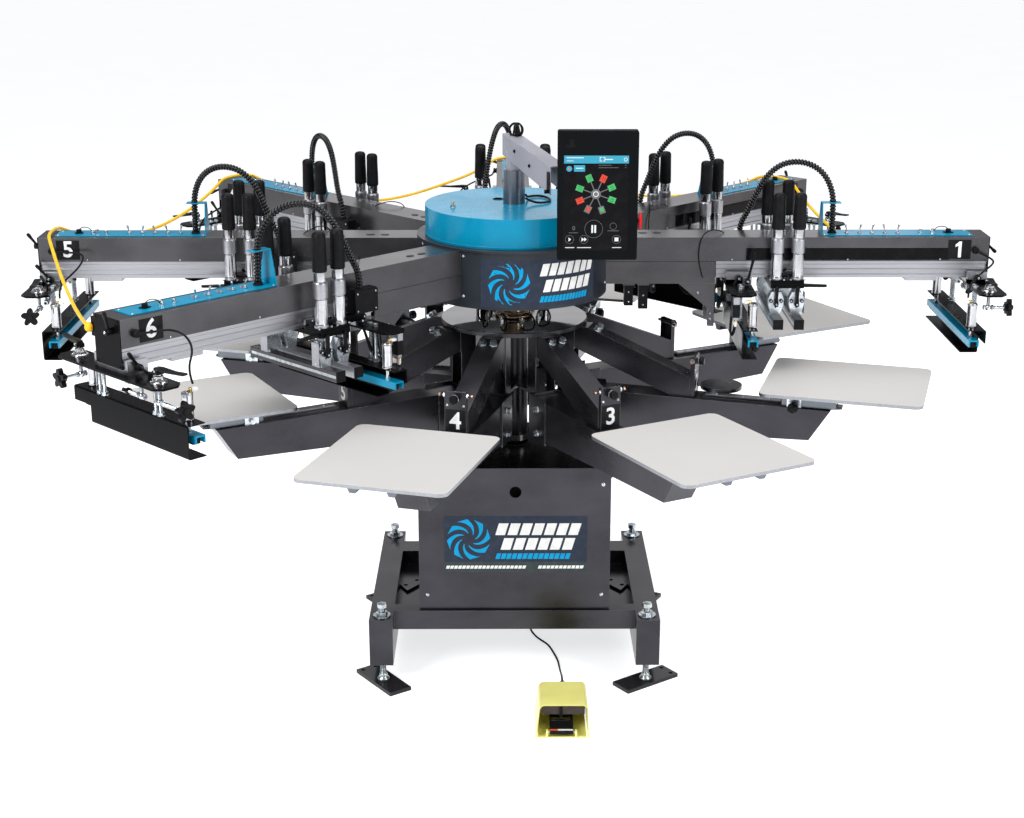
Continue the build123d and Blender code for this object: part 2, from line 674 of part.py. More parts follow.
# ---------------------------------------------------------------- foot pedal
with BuildPart() as pedal_guard:
    with BuildSketch(Plane.XY) as outer_base:
        with Locations((136, -601.5)):
            Rectangle(156, 203)
    with BuildSketch(Plane.XY.offset(100)) as outer_top:
        with Locations((140, -604)):
            Rectangle(140, 158)
    loft([outer_base.sketch, outer_top.sketch])
    with BuildSketch(Plane.XY.offset(4)) as inner_base:
        with Locations((136, -608)):
            Rectangle(147, 208)
    with BuildSketch(Plane.XY.offset(96)) as inner_top:
        with Locations((140, -614)):
            Rectangle(132.5, 170)
    loft([inner_base.sketch, inner_top.sketch], mode=Mode.SUBTRACT)
    for limits in ((88, 98), (170, 180)):
        span_box(limits, (-700, -688), (4, 27))
    with Locations(Location((134, -694, 20), (0, 90, 0))):
        Cylinder(radius=3, height=90)
    with Locations(Location((141.5, -513, 84), (90, 0, 0))):
        Cylinder(radius=7, height=17)
save(pedal_guard, "pedal_guard")

with BuildPart() as pedal_treadle:
    with BuildSketch(Plane.YZ.offset(100)):
        with BuildLine():
            Polyline((-701, 15), (-688, 15), (-560, 51), (-560, 59), (-690, 26), (-701, 26), close=True)
        make_face()
    extrude(amount=68)
    with Locations(Location((134, -694, 20), (0, 90, 0))):
        Cylinder(radius=3 + RUNNING_GAP, height=100, mode=Mode.SUBTRACT)
save(pedal_treadle, "pedal_treadle")

PEDAL_CORD_ROUTE = [
    (141.5, -504.5, 84),
    (141.5, -470, 84),
    (143, -420, 62),
    (142, -337, 34),
    (141, -259, 12),
    (139.5, -206, 4),
    (134, -172, 4),
    (126, -137, 4),
    (118, -104, 4),
    (109, -76, 4),
    (94, -52, 4),
    (79, -29, 4),
    (67.5, -4, 4),
    (58, 26, 4),
    (52, 62, 4),
    (50, 95, 14),
    (50, 110, 45),
    (50, 118, 83),
    (50, 118, GLAND_Z),
]
with BuildPart() as pedal_cord:
    pedal_cord_length, pedal_cord_bend = cord_tube(PEDAL_CORD_ROUTE, PEDAL_CORD_D)
save(pedal_cord, "pedal_cord")

# ---------------------------------------------------------------- safety cord
SAFETY_CORD_ROUTE = [
    (-1077, -948, 1296),
    (-1103, -877, 1286),
    (-1139, -779, 1277),
    (-1178, -672, 1272),
    (-1220, -556, 1272),
    (-1262, -441, 1279),
    (-1301, -334, 1291),
    (-1337, -236, 1307),
    (-1366, -156, 1323),
    (-1384, -107, 1334),
    (-1402, -58, 1350),
    (-1402, 58, 1350),
    (-1382, 107, 1326),
    (-1354, 174, 1302),
    (-1313, 272, 1274),
    (-1265, 388, 1254),
    (-1216, 503, 1247),
    (-1168, 619, 1254),
    (-1120, 735, 1274),
    (-1079, 833, 1302),
    (-1051, 900, 1326),
    (-1031, 949, 1350),
    (-949, 1031, 1350),
    (-900, 1051, 1316),
    (-833, 1079, 1280),
    (-735, 1120, 1239),
    (-619, 1168, 1209),
    (-503, 1215, 1199),
    (-388, 1263, 1209),
    (-272, 1311, 1239),
    (-174, 1352, 1280),
    (-107, 1380, 1316),
    (-58, 1400, 1350),
    (58, 1400, 1350),
    (104, 1377, 1324),
    (168, 1346, 1297),
    (261, 1300, 1267),
    (371, 1246, 1244),
    (480, 1192, 1237),
    (590, 1139, 1244),
    (700, 1085, 1267),
    (793, 1039, 1297),
    (857, 1008, 1324),
    (903, 985, 1350),
    (985, 903, 1350),
    (1005, 857, 1317),
    (1031, 795, 1282),
    (1070, 704, 1241),
    (1116, 596, 1209),
    (1162, 487, 1196),
    (1209, 379, 1202),
    (1255, 271, 1226),
    (1294, 180, 1260),
    (1320, 118, 1291),
    (1340, 72, 1318),
]
with BuildPart() as safety_cord:
    safety_cord_length, safety_cord_bend = cord_tube(SAFETY_CORD_ROUTE, SAFETY_CORD_D)
    with Locations(SAFETY_CORD_ROUTE[0]):
        Sphere(radius=CORD_BALL_R)
save(safety_cord, "safety_cord")

for label, length, bend in (
    ("hose", hose_length, hose_bend),
    ("pedal cord", pedal_cord_length, pedal_cord_bend),
    ("safety cord", safety_cord_length, safety_cord_bend),
):
    print(f"{label}: {length:.0f} mm long, tightest arc {bend:.0f} mm")
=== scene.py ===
"""Looks for a floor-standing carousel screen printing press: six heads over eight pallets.

A head's own axes are r outward, s across it, counted anticlockwise, and z up.
"""

import math

import bmesh
import bpy
from mathutils import Matrix, Vector


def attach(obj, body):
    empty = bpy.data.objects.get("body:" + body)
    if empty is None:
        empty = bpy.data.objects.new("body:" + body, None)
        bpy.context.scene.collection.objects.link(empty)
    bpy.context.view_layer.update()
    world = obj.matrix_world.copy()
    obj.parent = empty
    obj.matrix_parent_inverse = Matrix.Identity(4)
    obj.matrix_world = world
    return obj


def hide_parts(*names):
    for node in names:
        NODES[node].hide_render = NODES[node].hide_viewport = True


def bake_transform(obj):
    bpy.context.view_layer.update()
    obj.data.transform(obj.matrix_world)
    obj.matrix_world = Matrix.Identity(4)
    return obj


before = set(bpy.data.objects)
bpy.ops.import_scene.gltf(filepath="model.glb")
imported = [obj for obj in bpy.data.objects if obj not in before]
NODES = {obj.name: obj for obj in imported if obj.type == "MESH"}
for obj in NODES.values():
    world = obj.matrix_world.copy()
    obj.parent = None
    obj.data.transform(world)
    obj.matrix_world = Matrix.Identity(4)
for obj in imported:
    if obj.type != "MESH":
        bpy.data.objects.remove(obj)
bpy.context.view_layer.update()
MM = 0.001

# bearings in degrees round the machine, and the numbers on the pallet arms in the same order
STATION_PITCH = 45.0
FIRST_PALLET = 28.09
HEADS = [STATION_PITCH * step for step in range(6)]
PALLETS = [FIRST_PALLET + STATION_PITCH * step for step in range(8)]
PALLET_NUMBERS = (1, 8, 7, 6, 5, 4, 3, 2)


def put(name, data):
    """Links a new object to the scene."""
    made = bpy.data.objects.new(name, data)
    bpy.context.scene.collection.objects.link(made)
    return made


def swung(degrees):
    """A turn about the machine's upright axis."""
    return Matrix.Rotation(math.radians(degrees), 4, "Z")


def shifted(x, y, z):
    return Matrix.Translation((x, y, z))


def level(turn):
    """The level unit vector at a turn in radians."""
    return Vector((math.cos(turn), math.sin(turn), 0))


# ---------------------------------------------------------------- camera, light and floor
# places in metres, angles in degrees, lens and sensor in millimetres
CAMERA_PLACE = (-0.0277, -5.1150, 2.3847)
CAMERA_TILT = 17.4292
CAMERA_TURN = -0.2395
CAMERA_LENS = 59.95
CAMERA_SENSOR = 36
LAMP_TARGET = Vector((0, 0, 1.1))


def place_camera():
    camera = bpy.data.cameras.new("camera")
    camera.lens = CAMERA_LENS
    camera.sensor_width = CAMERA_SENSOR
    eye = put("camera", camera)
    eye.location = CAMERA_PLACE
    eye.rotation_euler = (math.radians(90 - CAMERA_TILT), 0, math.radians(CAMERA_TURN))
    bpy.context.scene.camera = eye


def softbox(name, place, size, power):
    """A large soft lamp that faces the machine."""
    lamp = bpy.data.lights.new(name, "AREA")
    lamp.shape = "RECTANGLE"
    lamp.size, lamp.size_y = size
    lamp.energy = power
    box = put(name, lamp)
    box.location = place
    box.rotation_euler = (LAMP_TARGET - Vector(place)).to_track_quat("-Z", "Y").to_euler()


def light_studio():
    world = bpy.data.worlds.new("studio")
    world.use_nodes = True
    sky = world.node_tree.nodes["Background"]
    sky.inputs["Color"].default_value = (0.95, 0.96, 1.0, 1)
    sky.inputs["Strength"].default_value = 0.30
    bpy.context.scene.world = world
    softbox("key_light", (-3.4, -3.8, 3.9), (2.0, 2.6), 230)
    softbox("fill_light", (3.9, -3.4, 3.2), (1.6, 2.6), 125)
    softbox("top_light", (0, 0.4, 5.4), (5.0, 4.0), 190)
    softbox("back_light", (0.5, 5.2, 3.0), (4.0, 1.6), 20)


place_camera()
light_studio()
bpy.context.scene.view_settings.view_transform = "Standard"


# ---------------------------------------------------------------- finishes
class Value:
    """A socket of a finish; sums written with it add the Math nodes that work them out."""

    def __init__(self, finish, socket):
        self.finish = finish
        self.socket = socket

    def sum(self, operation, first, second=0.0):
        return self.finish.node("ShaderNodeMath", {"operation": operation}, {0: first, 1: second})

    def __add__(self, other):
        return self.sum("ADD", self, other)

    def __sub__(self, other):
        return self.sum("SUBTRACT", self, other)

    def __rsub__(self, other):
        return self.sum("SUBTRACT", other, self)

    def __mul__(self, other):
        return self.sum("MULTIPLY", self, other)

    def __gt__(self, other):
        return self.sum("GREATER_THAN", self, other)

    __radd__ = __add__
    __rmul__ = __mul__


class Finish:
    """A procedural material: fixed values on its shader, and nodes for what varies."""

    def __init__(self, name, fixed):
        self.material = bpy.data.materials.new(name)
        self.material.use_nodes = True
        self.tree = self.material.node_tree
        self.shader = self.tree.nodes["Principled BSDF"]
        for socket, value in fixed.items():
            self.shade(socket, value)

    def feed(self, socket, value):
        if isinstance(value, Value):
            self.tree.links.new(value.socket, socket)
        else:
            socket.default_value = value

    def shade(self, socket, value):
        self.feed(self.shader.inputs[socket], value)

    def node(self, kind, settings=None, inputs=None, output=0):
        """A node with its settings made first, then its sockets; gives one of its outputs."""
        new = self.tree.nodes.new(kind)
        for setting, value in (settings or {}).items():
            if setting == "stops":
                for element, (place, colour) in zip(new.color_ramp.elements, value):
                    element.position = place
                    element.color = colour
            else:
                setattr(new, setting, value)
        for socket, value in (inputs or {}).items():
            self.feed(new.inputs[socket], value)
        return Value(self, new.outputs[output])

    def place(self):
        return self.node("ShaderNodeTexCoord", output="Object")

    def grain(self, scale, detail=3.0, stretch=(1, 1, 1), roughness=0.5):
        """Noise from 0 to 1 with `scale` patches to a metre, drawn out along an axis."""
        point = self.node("ShaderNodeMapping", None, {"Vector": self.place(), "Scale": stretch})
        sockets = {"Vector": point, "Scale": scale, "Detail": detail, "Roughness": roughness}
        return self.node("ShaderNodeTexNoise", None, sockets)

    def steps(self, value, low, high):
        """value spread so that low becomes 0 and high becomes 1, and held between them."""
        sockets = {"Value": value, "From Min": low, "From Max": high}
        return self.node("ShaderNodeMapRange", {"clamp": True}, sockets)

    def mix(self, mask, first, second):
        """The first colour where mask is 0, the second where it is 1."""
        first, second = [c if isinstance(c, Value) else (*c, 1.0) for c in (first, second)]
        sockets = {0: mask, 6: first, 7: second}
        return self.node("ShaderNodeMix", {"data_type": "RGBA"}, sockets, output=2)

    def part(self, vector, axis):
        return self.node("ShaderNodeSeparateXYZ", None, {0: vector}, output=axis)

    def facing_up(self):
        """1 where the surface faces up, 0 on its sides."""
        normal = self.node("ShaderNodeNewGeometry", output="Normal")
        return self.part(normal, "Z") > 0.9

    def worn_edges(self, reach):
        """1 on sharp edges, fading to 0 within reach: a mask for edge wear and for a painted
        highlight along the edges.
        """
        rounded = self.node("ShaderNodeBevel", {"samples": 4}, {"Radius": reach * MM})
        normal = self.node("ShaderNodeNewGeometry", output="Normal")
        sockets = {0: rounded, 1: normal}
        flat = self.node("ShaderNodeVectorMath", {"operation": "DOT_PRODUCT"}, sockets, "Value")
        return self.steps(1 - flat, 0.02, 0.25)

    def relief(self, height, depth, strength=1.0, rounding=0.0):
        """The height as bumps `depth` mm high, over edges rounded by `rounding` mm."""
        sockets = {"Height": height, "Distance": depth * MM, "Strength": strength}
        if rounding:
            bevel = {"samples": 4}
            sockets["Normal"] = self.node("ShaderNodeBevel", bevel, {"Radius": rounding * MM})
        self.shade("Normal", self.node("ShaderNodeBump", None, sockets))


def shade_of(colour, share, lift=0.0):
    """The colour times a share, lifted by a little grey."""
    return tuple(share * part + lift for part in colour)


def lacquered_steel(name, dark, light):
    """Hot-rolled steel under clear lacquer: dark, cloudy, with pale edges that are part wear, part
    painted highlight.
    """
    steel = Finish(name, {"Metallic": 0.8, "Coat Weight": 0.15, "Coat Roughness": 0.2})
    clouds = steel.steps(steel.grain(5.5, 5.0, (1, 1, 1.6)), 0.3, 0.7)
    fine = steel.grain(420, 2.0)
    body = steel.mix(clouds, dark, light)
    # edges: where the pale grey goes, part wear and part painted highlight
    edges = steel.worn_edges(1.6)
    steel.shade("Base Color", steel.mix(edges * 0.5, body, (0.34, 0.34, 0.36)))
    steel.shade("Roughness", 0.22 + clouds * 0.10 + fine * 0.06)
    steel.relief(fine, 0.05, 0.35, rounding=1.6)
    return steel.material


def drum_paint():
    """Slate paint on rolled sheet, a little orange-peeled."""
    coat = {"Coat Weight": 0.12, "Coat Roughness": 0.15}
    paint = Finish("drum_paint", {"Metallic": 0.25, **coat, "Specular IOR Level": 0.25})
    clouds = paint.steps(paint.grain(7, 4.0), 0.3, 0.7)
    peel = paint.grain(260, 2.0)
    body = paint.mix(clouds, (0.018, 0.023, 0.031), (0.028, 0.034, 0.043))
    # edges: where the pale grey goes, part wear and part painted highlight
    edges = paint.worn_edges(1.4)
    paint.shade("Base Color", paint.mix(edges * 0.4, body, (0.25, 0.26, 0.28)))
    paint.shade("Roughness", 0.30 + clouds * 0.1)
    paint.relief(peel, 0.06, 0.3, rounding=1.4)
    return paint.material


def gloss_coat(name, colour, pale, roughness, gloss, peel_depth=0.05, shine=0.12):
    """Powder coat of one colour: orange peel, faint unevenness, and thin pale edges that are part
    wear, part painted highlight.
    """
    coat = Finish(name, {"Coat Weight": gloss, "Coat Roughness": 0.08, "Specular IOR Level": shine})
    clouds = coat.steps(coat.grain(9, 3.0), 0.3, 0.7)
    peel = coat.grain(330, 2.0)
    body = coat.mix(clouds, colour, shade_of(colour, 0.88))
    # pale is the colour along the edges: part wear, part painted highlight
    coat.shade("Base Color", coat.mix(coat.worn_edges(0.9) * 0.5, body, pale))
    coat.shade("Roughness", roughness + clouds * 0.08)
    coat.relief(peel, peel_depth, 0.25, rounding=0.9)
    return coat.material


def rail_aluminium():
    """Extruded aluminium: long fine die lines and a soft sheen."""
    metal = Finish("rail_aluminium", {"Metallic": 1.0})
    lines = metal.grain(90, 4.0, (0.02, 1, 1), 0.6)
    clouds = metal.steps(metal.grain(8, 3.0), 0.3, 0.7)
    metal.shade("Base Color", metal.mix(lines, (0.34, 0.34, 0.37), (0.52, 0.52, 0.55)))
    metal.shade("Roughness", 0.26 + lines * 0.14 + clouds * 0.06)
    metal.relief(lines, 0.08, 0.4, rounding=0.8)
    return metal.material


def zinc_plate():
    """Bright zinc plating: bluish spangle with dulled patches."""
    metal = Finish("zinc_plate", {"Metallic": 1.0})
    spangle = metal.node("ShaderNodeTexVoronoi", None, {"Vector": metal.place(), "Scale": 160.0})
    clouds = metal.steps(metal.grain(60, 3.0), 0.35, 0.7)
    metal.shade("Base Color", metal.mix(clouds, (0.66, 0.70, 0.73), (0.42, 0.46, 0.50)))
    metal.shade("Roughness", 0.20 + clouds * 0.16 + spangle * 0.05)
    metal.relief(metal.grain(700, 2.0), 0.03, 0.3, rounding=0.5)
    return metal.material


def polished_steel(name, colour, roughness):
    """Turned and polished metal: hair-fine tool rings."""
    metal = Finish(name, {"Metallic": 1.0})
    turned = metal.grain(900, 2.0, (1, 1, 0.04))
    clouds = metal.steps(metal.grain(35, 3.0), 0.35, 0.7)
    metal.shade("Base Color", metal.mix(clouds, colour, shade_of(colour, 0.82)))
    metal.shade("Roughness", roughness + turned * 0.06 + clouds * 0.05)
    metal.relief(turned, 0.015, 0.3, rounding=0.4)
    return metal.material


def dark_mirror():
    """A blacked and polished plate: a near mirror with faint wipe marks."""
    metal = Finish("dark_mirror", {"Metallic": 1.0})
    clouds = metal.steps(metal.grain(14, 3.0), 0.35, 0.7)
    metal.shade("Base Color", metal.mix(clouds, (0.080, 0.080, 0.088), (0.055, 0.055, 0.062)))
    metal.shade("Roughness", 0.035 + clouds * 0.04)
    metal.relief(clouds, 0.004, 0.3, rounding=0.4)
    return metal.material


def pallet_board():
    """Cream laminate on top, machined aluminium round the rim and below."""
    board = Finish("pallet_board", {"Specular IOR Level": 0.4})
    top = board.facing_up()
    flecks = board.steps(board.grain(900, 1.0), 0.62, 0.74)
    clouds = board.grain(3.5, 3.0)
    cream = board.mix(clouds, (0.54, 0.525, 0.51), (0.50, 0.485, 0.47))
    cream = board.mix(flecks * 0.25, cream, (0.45, 0.43, 0.41))
    rim = board.mix(board.grain(140, 3.0), (0.24, 0.25, 0.27), (0.40, 0.41, 0.43))
    board.shade("Base Color", board.mix(top, rim, cream))
    board.shade("Metallic", 1 - top)
    board.shade("Roughness", 0.33 + top * 0.12 + clouds * 0.05)
    board.relief(board.grain(1200, 2.0), 0.03, 0.25, rounding=0.8)
    return board.material


def moulded(name, colour, roughness, texture=900, depth=0.06, shine=0.1):
    """Moulded plastic or rubber with a fine spark-eroded skin and rubbed high spots."""
    plastic = Finish(name, {"Specular IOR Level": shine})
    skin = plastic.grain(texture, 2.0)
    rubbed = plastic.steps(plastic.grain(45, 3.0), 0.45, 0.75)
    plastic.shade("Base Color", plastic.mix(rubbed, colour, shade_of(colour, 1.2, 0.003)))
    plastic.shade("Roughness", roughness - rubbed * 0.10 + skin * 0.06)
    plastic.relief(skin, depth, 0.4, rounding=0.5)
    return plastic.material


def lit_print(name, colour, glow):
    """A glowing print behind the screen's glass, broken up by its fine dots."""
    ink = Finish(name, {"Specular IOR Level": 0.1, "Emission Strength": glow})
    dots = ink.grain(2400, 1.0)
    shade = ink.mix(dots, colour, shade_of(colour, 0.75))
    ink.shade("Base Color", shade)
    ink.shade("Emission Color", shade)
    ink.shade("Roughness", 0.2 + dots * 0.1)
    return ink.material


STEEL = lacquered_steel("lacquered_steel", (0.060, 0.058, 0.064), (0.105, 0.102, 0.110))
# the same lacquered steel, darker: painted shade on the base, cabinet front, hub, arms and brackets
SHADED_STEEL = lacquered_steel("shaded_copy_steel", (0.023, 0.022, 0.027), (0.046, 0.044, 0.052))
GUNMETAL = lacquered_steel("gunmetal", (0.12, 0.13, 0.15), (0.17, 0.185, 0.21))
# dark grey-brown for a band inside the pedal guard's rear wall
GUARD_REAR_BAND = moulded("guard_rear_band", (0.085, 0.070, 0.070), 0.30, 500)
DRUM = drum_paint()
# in each coat below, the second colour lies along the edges: part wear, part painted highlight
CYAN = gloss_coat("cyan_coat", (0.0, 0.245, 0.42), (0.10, 0.55, 0.72), 0.24, 0.2)
BLACK = gloss_coat("black_coat", (0.0026, 0.0026, 0.0032), (0.1, 0.1, 0.11), 0.22, 0.02, shine=0.04)
FOOT_BLACK = gloss_coat("foot_black", (0.02, 0.02, 0.023), (0.16, 0.16, 0.17), 0.2, 0.2, shine=0.1)
PANEL = gloss_coat("panel_coat", (0.0055, 0.0065, 0.0075), (0.04, 0.04, 0.05), 0.5, 0.0, 0.12, 0.03)
PALE = gloss_coat("pale_coat", (0.30, 0.30, 0.34), (0.56, 0.56, 0.59), 0.38, 0.3)
YELLOW = gloss_coat("yellow_coat", (0.92, 0.87, 0.27), (0.90, 0.88, 0.55), 0.30, 0.4)
ALUMINIUM = rail_aluminium()
ZINC = zinc_plate()
SHAFT = polished_steel("shaft_steel", (0.46, 0.45, 0.44), 0.11)
CHROME = polished_steel("chrome", (0.62, 0.62, 0.64), 0.07)
BRONZE = polished_steel("bronze", (0.50, 0.38, 0.26), 0.20)
BRASS = polished_steel("brass", (0.72, 0.52, 0.20), 0.20)
COPPER = polished_steel("copper_tip", (0.62, 0.34, 0.22), 0.25)
BOARD = pallet_board()
PLASTIC = moulded("black_plastic", (0.006, 0.006, 0.007), 0.32)
RUBBER = moulded("black_rubber", (0.007, 0.007, 0.008), 0.42, 500)
CORD_YELLOW = moulded("yellow_cord", (0.80, 0.47, 0.02), 0.34, 300)
RED = moulded("red_plastic", (0.60, 0.010, 0.012), 0.25, 400)
ORANGE = moulded("orange_plastic", (0.75, 0.10, 0.02), 0.30)
WHITE = moulded("white_plastic", (0.78, 0.78, 0.76), 0.35)
BLUE_TUBE = moulded("blue_tube", (0.005, 0.10, 0.36), 0.28)

VINYL = moulded("black_vinyl", (0.008, 0.008, 0.009), 0.22, 600, 0.02)
FIGURE = moulded("pale_figure", (0.80, 0.80, 0.80), 0.35, 600, 0.02)
GLASS = moulded("dark_window", (0.003, 0.003, 0.004), 0.12, 500, 0.01)
# near black with no shine: painted shade for the inside of a hole
HOLE_SHADE = moulded("painted_hole_shade", (0.001, 0.001, 0.001), 0.6, 500, 0.02, 0.0)
HOSE = moulded("hose_rubber", (0.003, 0.003, 0.004), 0.12, 500, 0.01, 0.4)
MIRROR = dark_mirror()
DARK_TUBE = polished_steel("dark_tube", (0.030, 0.030, 0.033), 0.24)

TEAL_LIGHT = lit_print("teal_light", (0.035, 0.24, 0.34), 0.6)
WHITE_LIGHT = lit_print("white_light", (0.55, 0.57, 0.59), 0.6)
GREY_LIGHT = lit_print("grey_light", (0.12, 0.12, 0.12), 0.5)
GREEN_LIGHT = lit_print("green_light", (0.05, 0.32, 0.10), 0.5)
RED_LIGHT = lit_print("red_light", (0.50, 0.05, 0.03), 0.5)
SLATE_INK = moulded("slate_ink", (0.026, 0.034, 0.054), 0.40, 700, 0.02)
GREY_INK = moulded("grey_ink", (0.040, 0.052, 0.055), 0.40, 700, 0.02)
CYAN_INK = moulded("cyan_ink", (0.0, 0.30, 0.58), 0.38, 700, 0.02)

# the CAD nodes that each finish lies on; a node with _n has one for each head
CAD_FINISHES = (
    # the darker copy of the steel on these low and inner parts is painted shade
    (SHADED_STEEL, "base_frame cabinet_front carousel_hub pallet_arms arm_braces number_brackets"),
    (STEEL, "head_beams lower_beams"),
    (BLACK, "cabinet_shell end_plates inner_holders outer_holder_n"),
    (ZINC, "levelling_studs squeegee_n flood_bar_n"),
    (SHAFT, "column lift_sleeve carriage_n"),
    (RUBBER, "pedal_cord hose_n"),
    (CYAN, "drum_lid control_strips"),
    (GUNMETAL, "mast pallet_clamps"),
    (FOOT_BLACK, "foot_plates"),
    (DRUM, "head_drum"),
    (ALUMINIUM, "head_rails"),
    (YELLOW, "pedal_guard"),
    (BRONZE, "shaft_bush"),
    (BOARD, "pallets"),
    (PALE, "boom"),
    (PANEL, "touch_panel"),
    (RED, "estop_button"),
    (PLASTIC, "pedal_treadle"),
    (CORD_YELLOW, "safety_cord"),
)


def coat_cad_nodes():
    for finish, names in CAD_FINISHES:
        for name in names.split():
            numbered = [f"{name[:-1]}{number}" for number in range(1, 7)]
            for node in numbered if name.endswith("_n") else [name]:
                slots = NODES[node].data.materials
                slots.clear()
                slots.append(finish)


coat_cad_nodes()


# ---------------------------------------------------------------- cords
def spline(name, route, diameter, finish):
    """A smooth cord whose control points are the route's points."""
    curve = bpy.data.curves.new(name, "CURVE")
    curve.dimensions = "3D"
    line = curve.splines.new("NURBS")
    line.points.add(len(route) - 1)
    for point, place in zip(line.points, route):
        point.co = (*(Vector(place) * MM), 1.0)
    line.order_u = 3
    line.use_endpoint_u = True
    line.resolution_u = 8
    curve.bevel_depth = diameter / 2 * MM
    curve.bevel_resolution = 4
    curve.use_fill_caps = True
    if finish:
        curve.materials.append(finish)
    return put(name, curve)


PEDAL_CORD_ROUTE = [
    (141.5, -504.5, 84), (141.5, -470, 84), (143, -420, 62), (142, -337, 34), (141, -259, 12),
    (139.5, -206, 4), (134, -172, 4), (126, -137, 4), (118, -104, 4), (109, -76, 4), (94, -52, 4),
    (79, -29, 4), (67.5, -4, 4), (58, 26, 4), (52, 62, 4), (50, 95, 14), (50, 110, 45),
    (50, 118, 83), (50, 118, 121),
]
PEDAL_CORD_D = 6.5

SAFETY_CORD_ROUTE = [
    (-1077, -948, 1296), (-1103, -877, 1286), (-1139, -779, 1277), (-1178, -672, 1272),
    (-1220, -556, 1272), (-1262, -441, 1279), (-1301, -334, 1291), (-1337, -236, 1307),
    (-1366, -156, 1323), (-1384, -107, 1334), (-1402, -58, 1350), (-1402, 58, 1350),
    (-1382, 107, 1326), (-1354, 174, 1302), (-1313, 272, 1274), (-1265, 388, 1254),
    (-1216, 503, 1247), (-1168, 619, 1254), (-1120, 735, 1274), (-1079, 833, 1302),
    (-1051, 900, 1326), (-1031, 949, 1350), (-949, 1031, 1350), (-900, 1051, 1316),
    (-833, 1079, 1286), (-735, 1120, 1257), (-619, 1168, 1227), (-503, 1215, 1214),
    (-388, 1263, 1227), (-272, 1311, 1257), (-174, 1352, 1286), (-107, 1380, 1316),
    (-58, 1400, 1350), (58, 1400, 1350), (104, 1377, 1324), (168, 1346, 1297), (261, 1300, 1267),
    (371, 1246, 1244), (480, 1192, 1237), (590, 1139, 1244), (700, 1085, 1267), (793, 1039, 1297),
    (857, 1008, 1324), (903, 985, 1350), (985, 903, 1350), (1005, 857, 1317), (1031, 795, 1282),
    (1070, 704, 1241), (1116, 596, 1209), (1162, 487, 1196), (1209, 379, 1202), (1255, 271, 1226),
    (1294, 180, 1260), (1320, 118, 1291), (1340, 72, 1318),
]
SAFETY_CORD_D = 10.0

pedal_cord = spline("pedal_cord_line", PEDAL_CORD_ROUTE, PEDAL_CORD_D, RUBBER)
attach(pedal_cord, "frame")
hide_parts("pedal_cord")


# ---------------------------------------------------------------- mesh tools
UPRIGHT = Matrix.Identity(4)
# local x, y, z lie along r, z, s and along s, z, r
ACROSS = Matrix(((1, 0, 0, 0), (0, 0, 1, 0), (0, 1, 0, 0), (0, 0, 0, 1)))
OUTWARD = Matrix(((0, 0, 1, 0), (1, 0, 0, 0), (0, 1, 0, 0), (0, 0, 0, 1)))
# an edge sharper than BEND is eased; one softer than SOFT is shaded smooth
BEND = math.radians(28)
SOFT = math.radians(50)
# a type's size over the height of its figures
TYPE_SIZE = 1.38


def aim(origin, axis=(0, 0, 1), turn=0.0):
    """A place at origin whose z runs along axis, turned about it."""
    facing = Vector(axis).to_track_quat("Z", "Y").to_matrix().to_4x4()
    return Matrix.Translation(origin) @ facing @ swung(turn)


def rounded(corners, radius, steps=4):
    """A closed outline with each corner turned into an arc."""
    outline = []
    for index, corner in enumerate(corners):
        corner = Vector(corner)
        before = (Vector(corners[index - 1]) - corner).normalized()
        after = (Vector(corners[(index + 1) % len(corners)]) - corner).normalized()
        half = before.angle(after) / 2
        centre = corner + (before + after).normalized() * (radius / math.sin(half))
        start = corner + before * (radius / math.tan(half)) - centre
        end = corner + after * (radius / math.tan(half)) - centre
        for step in range(steps + 1):
            spoke = start.lerp(end, step / steps).normalized() * radius
            outline.append(centre + spoke)
    return outline


def polygon(sides, radius, turn=0.0):
    """A regular outline, such as a nut's."""
    angles = [math.radians(turn) + math.tau * side / sides for side in range(sides)]
    return [(radius * math.cos(angle), radius * math.sin(angle)) for angle in angles]


def rectangle(x, y):
    return [(x[0], y[0]), (x[1], y[0]), (x[1], y[1]), (x[0], y[1])]


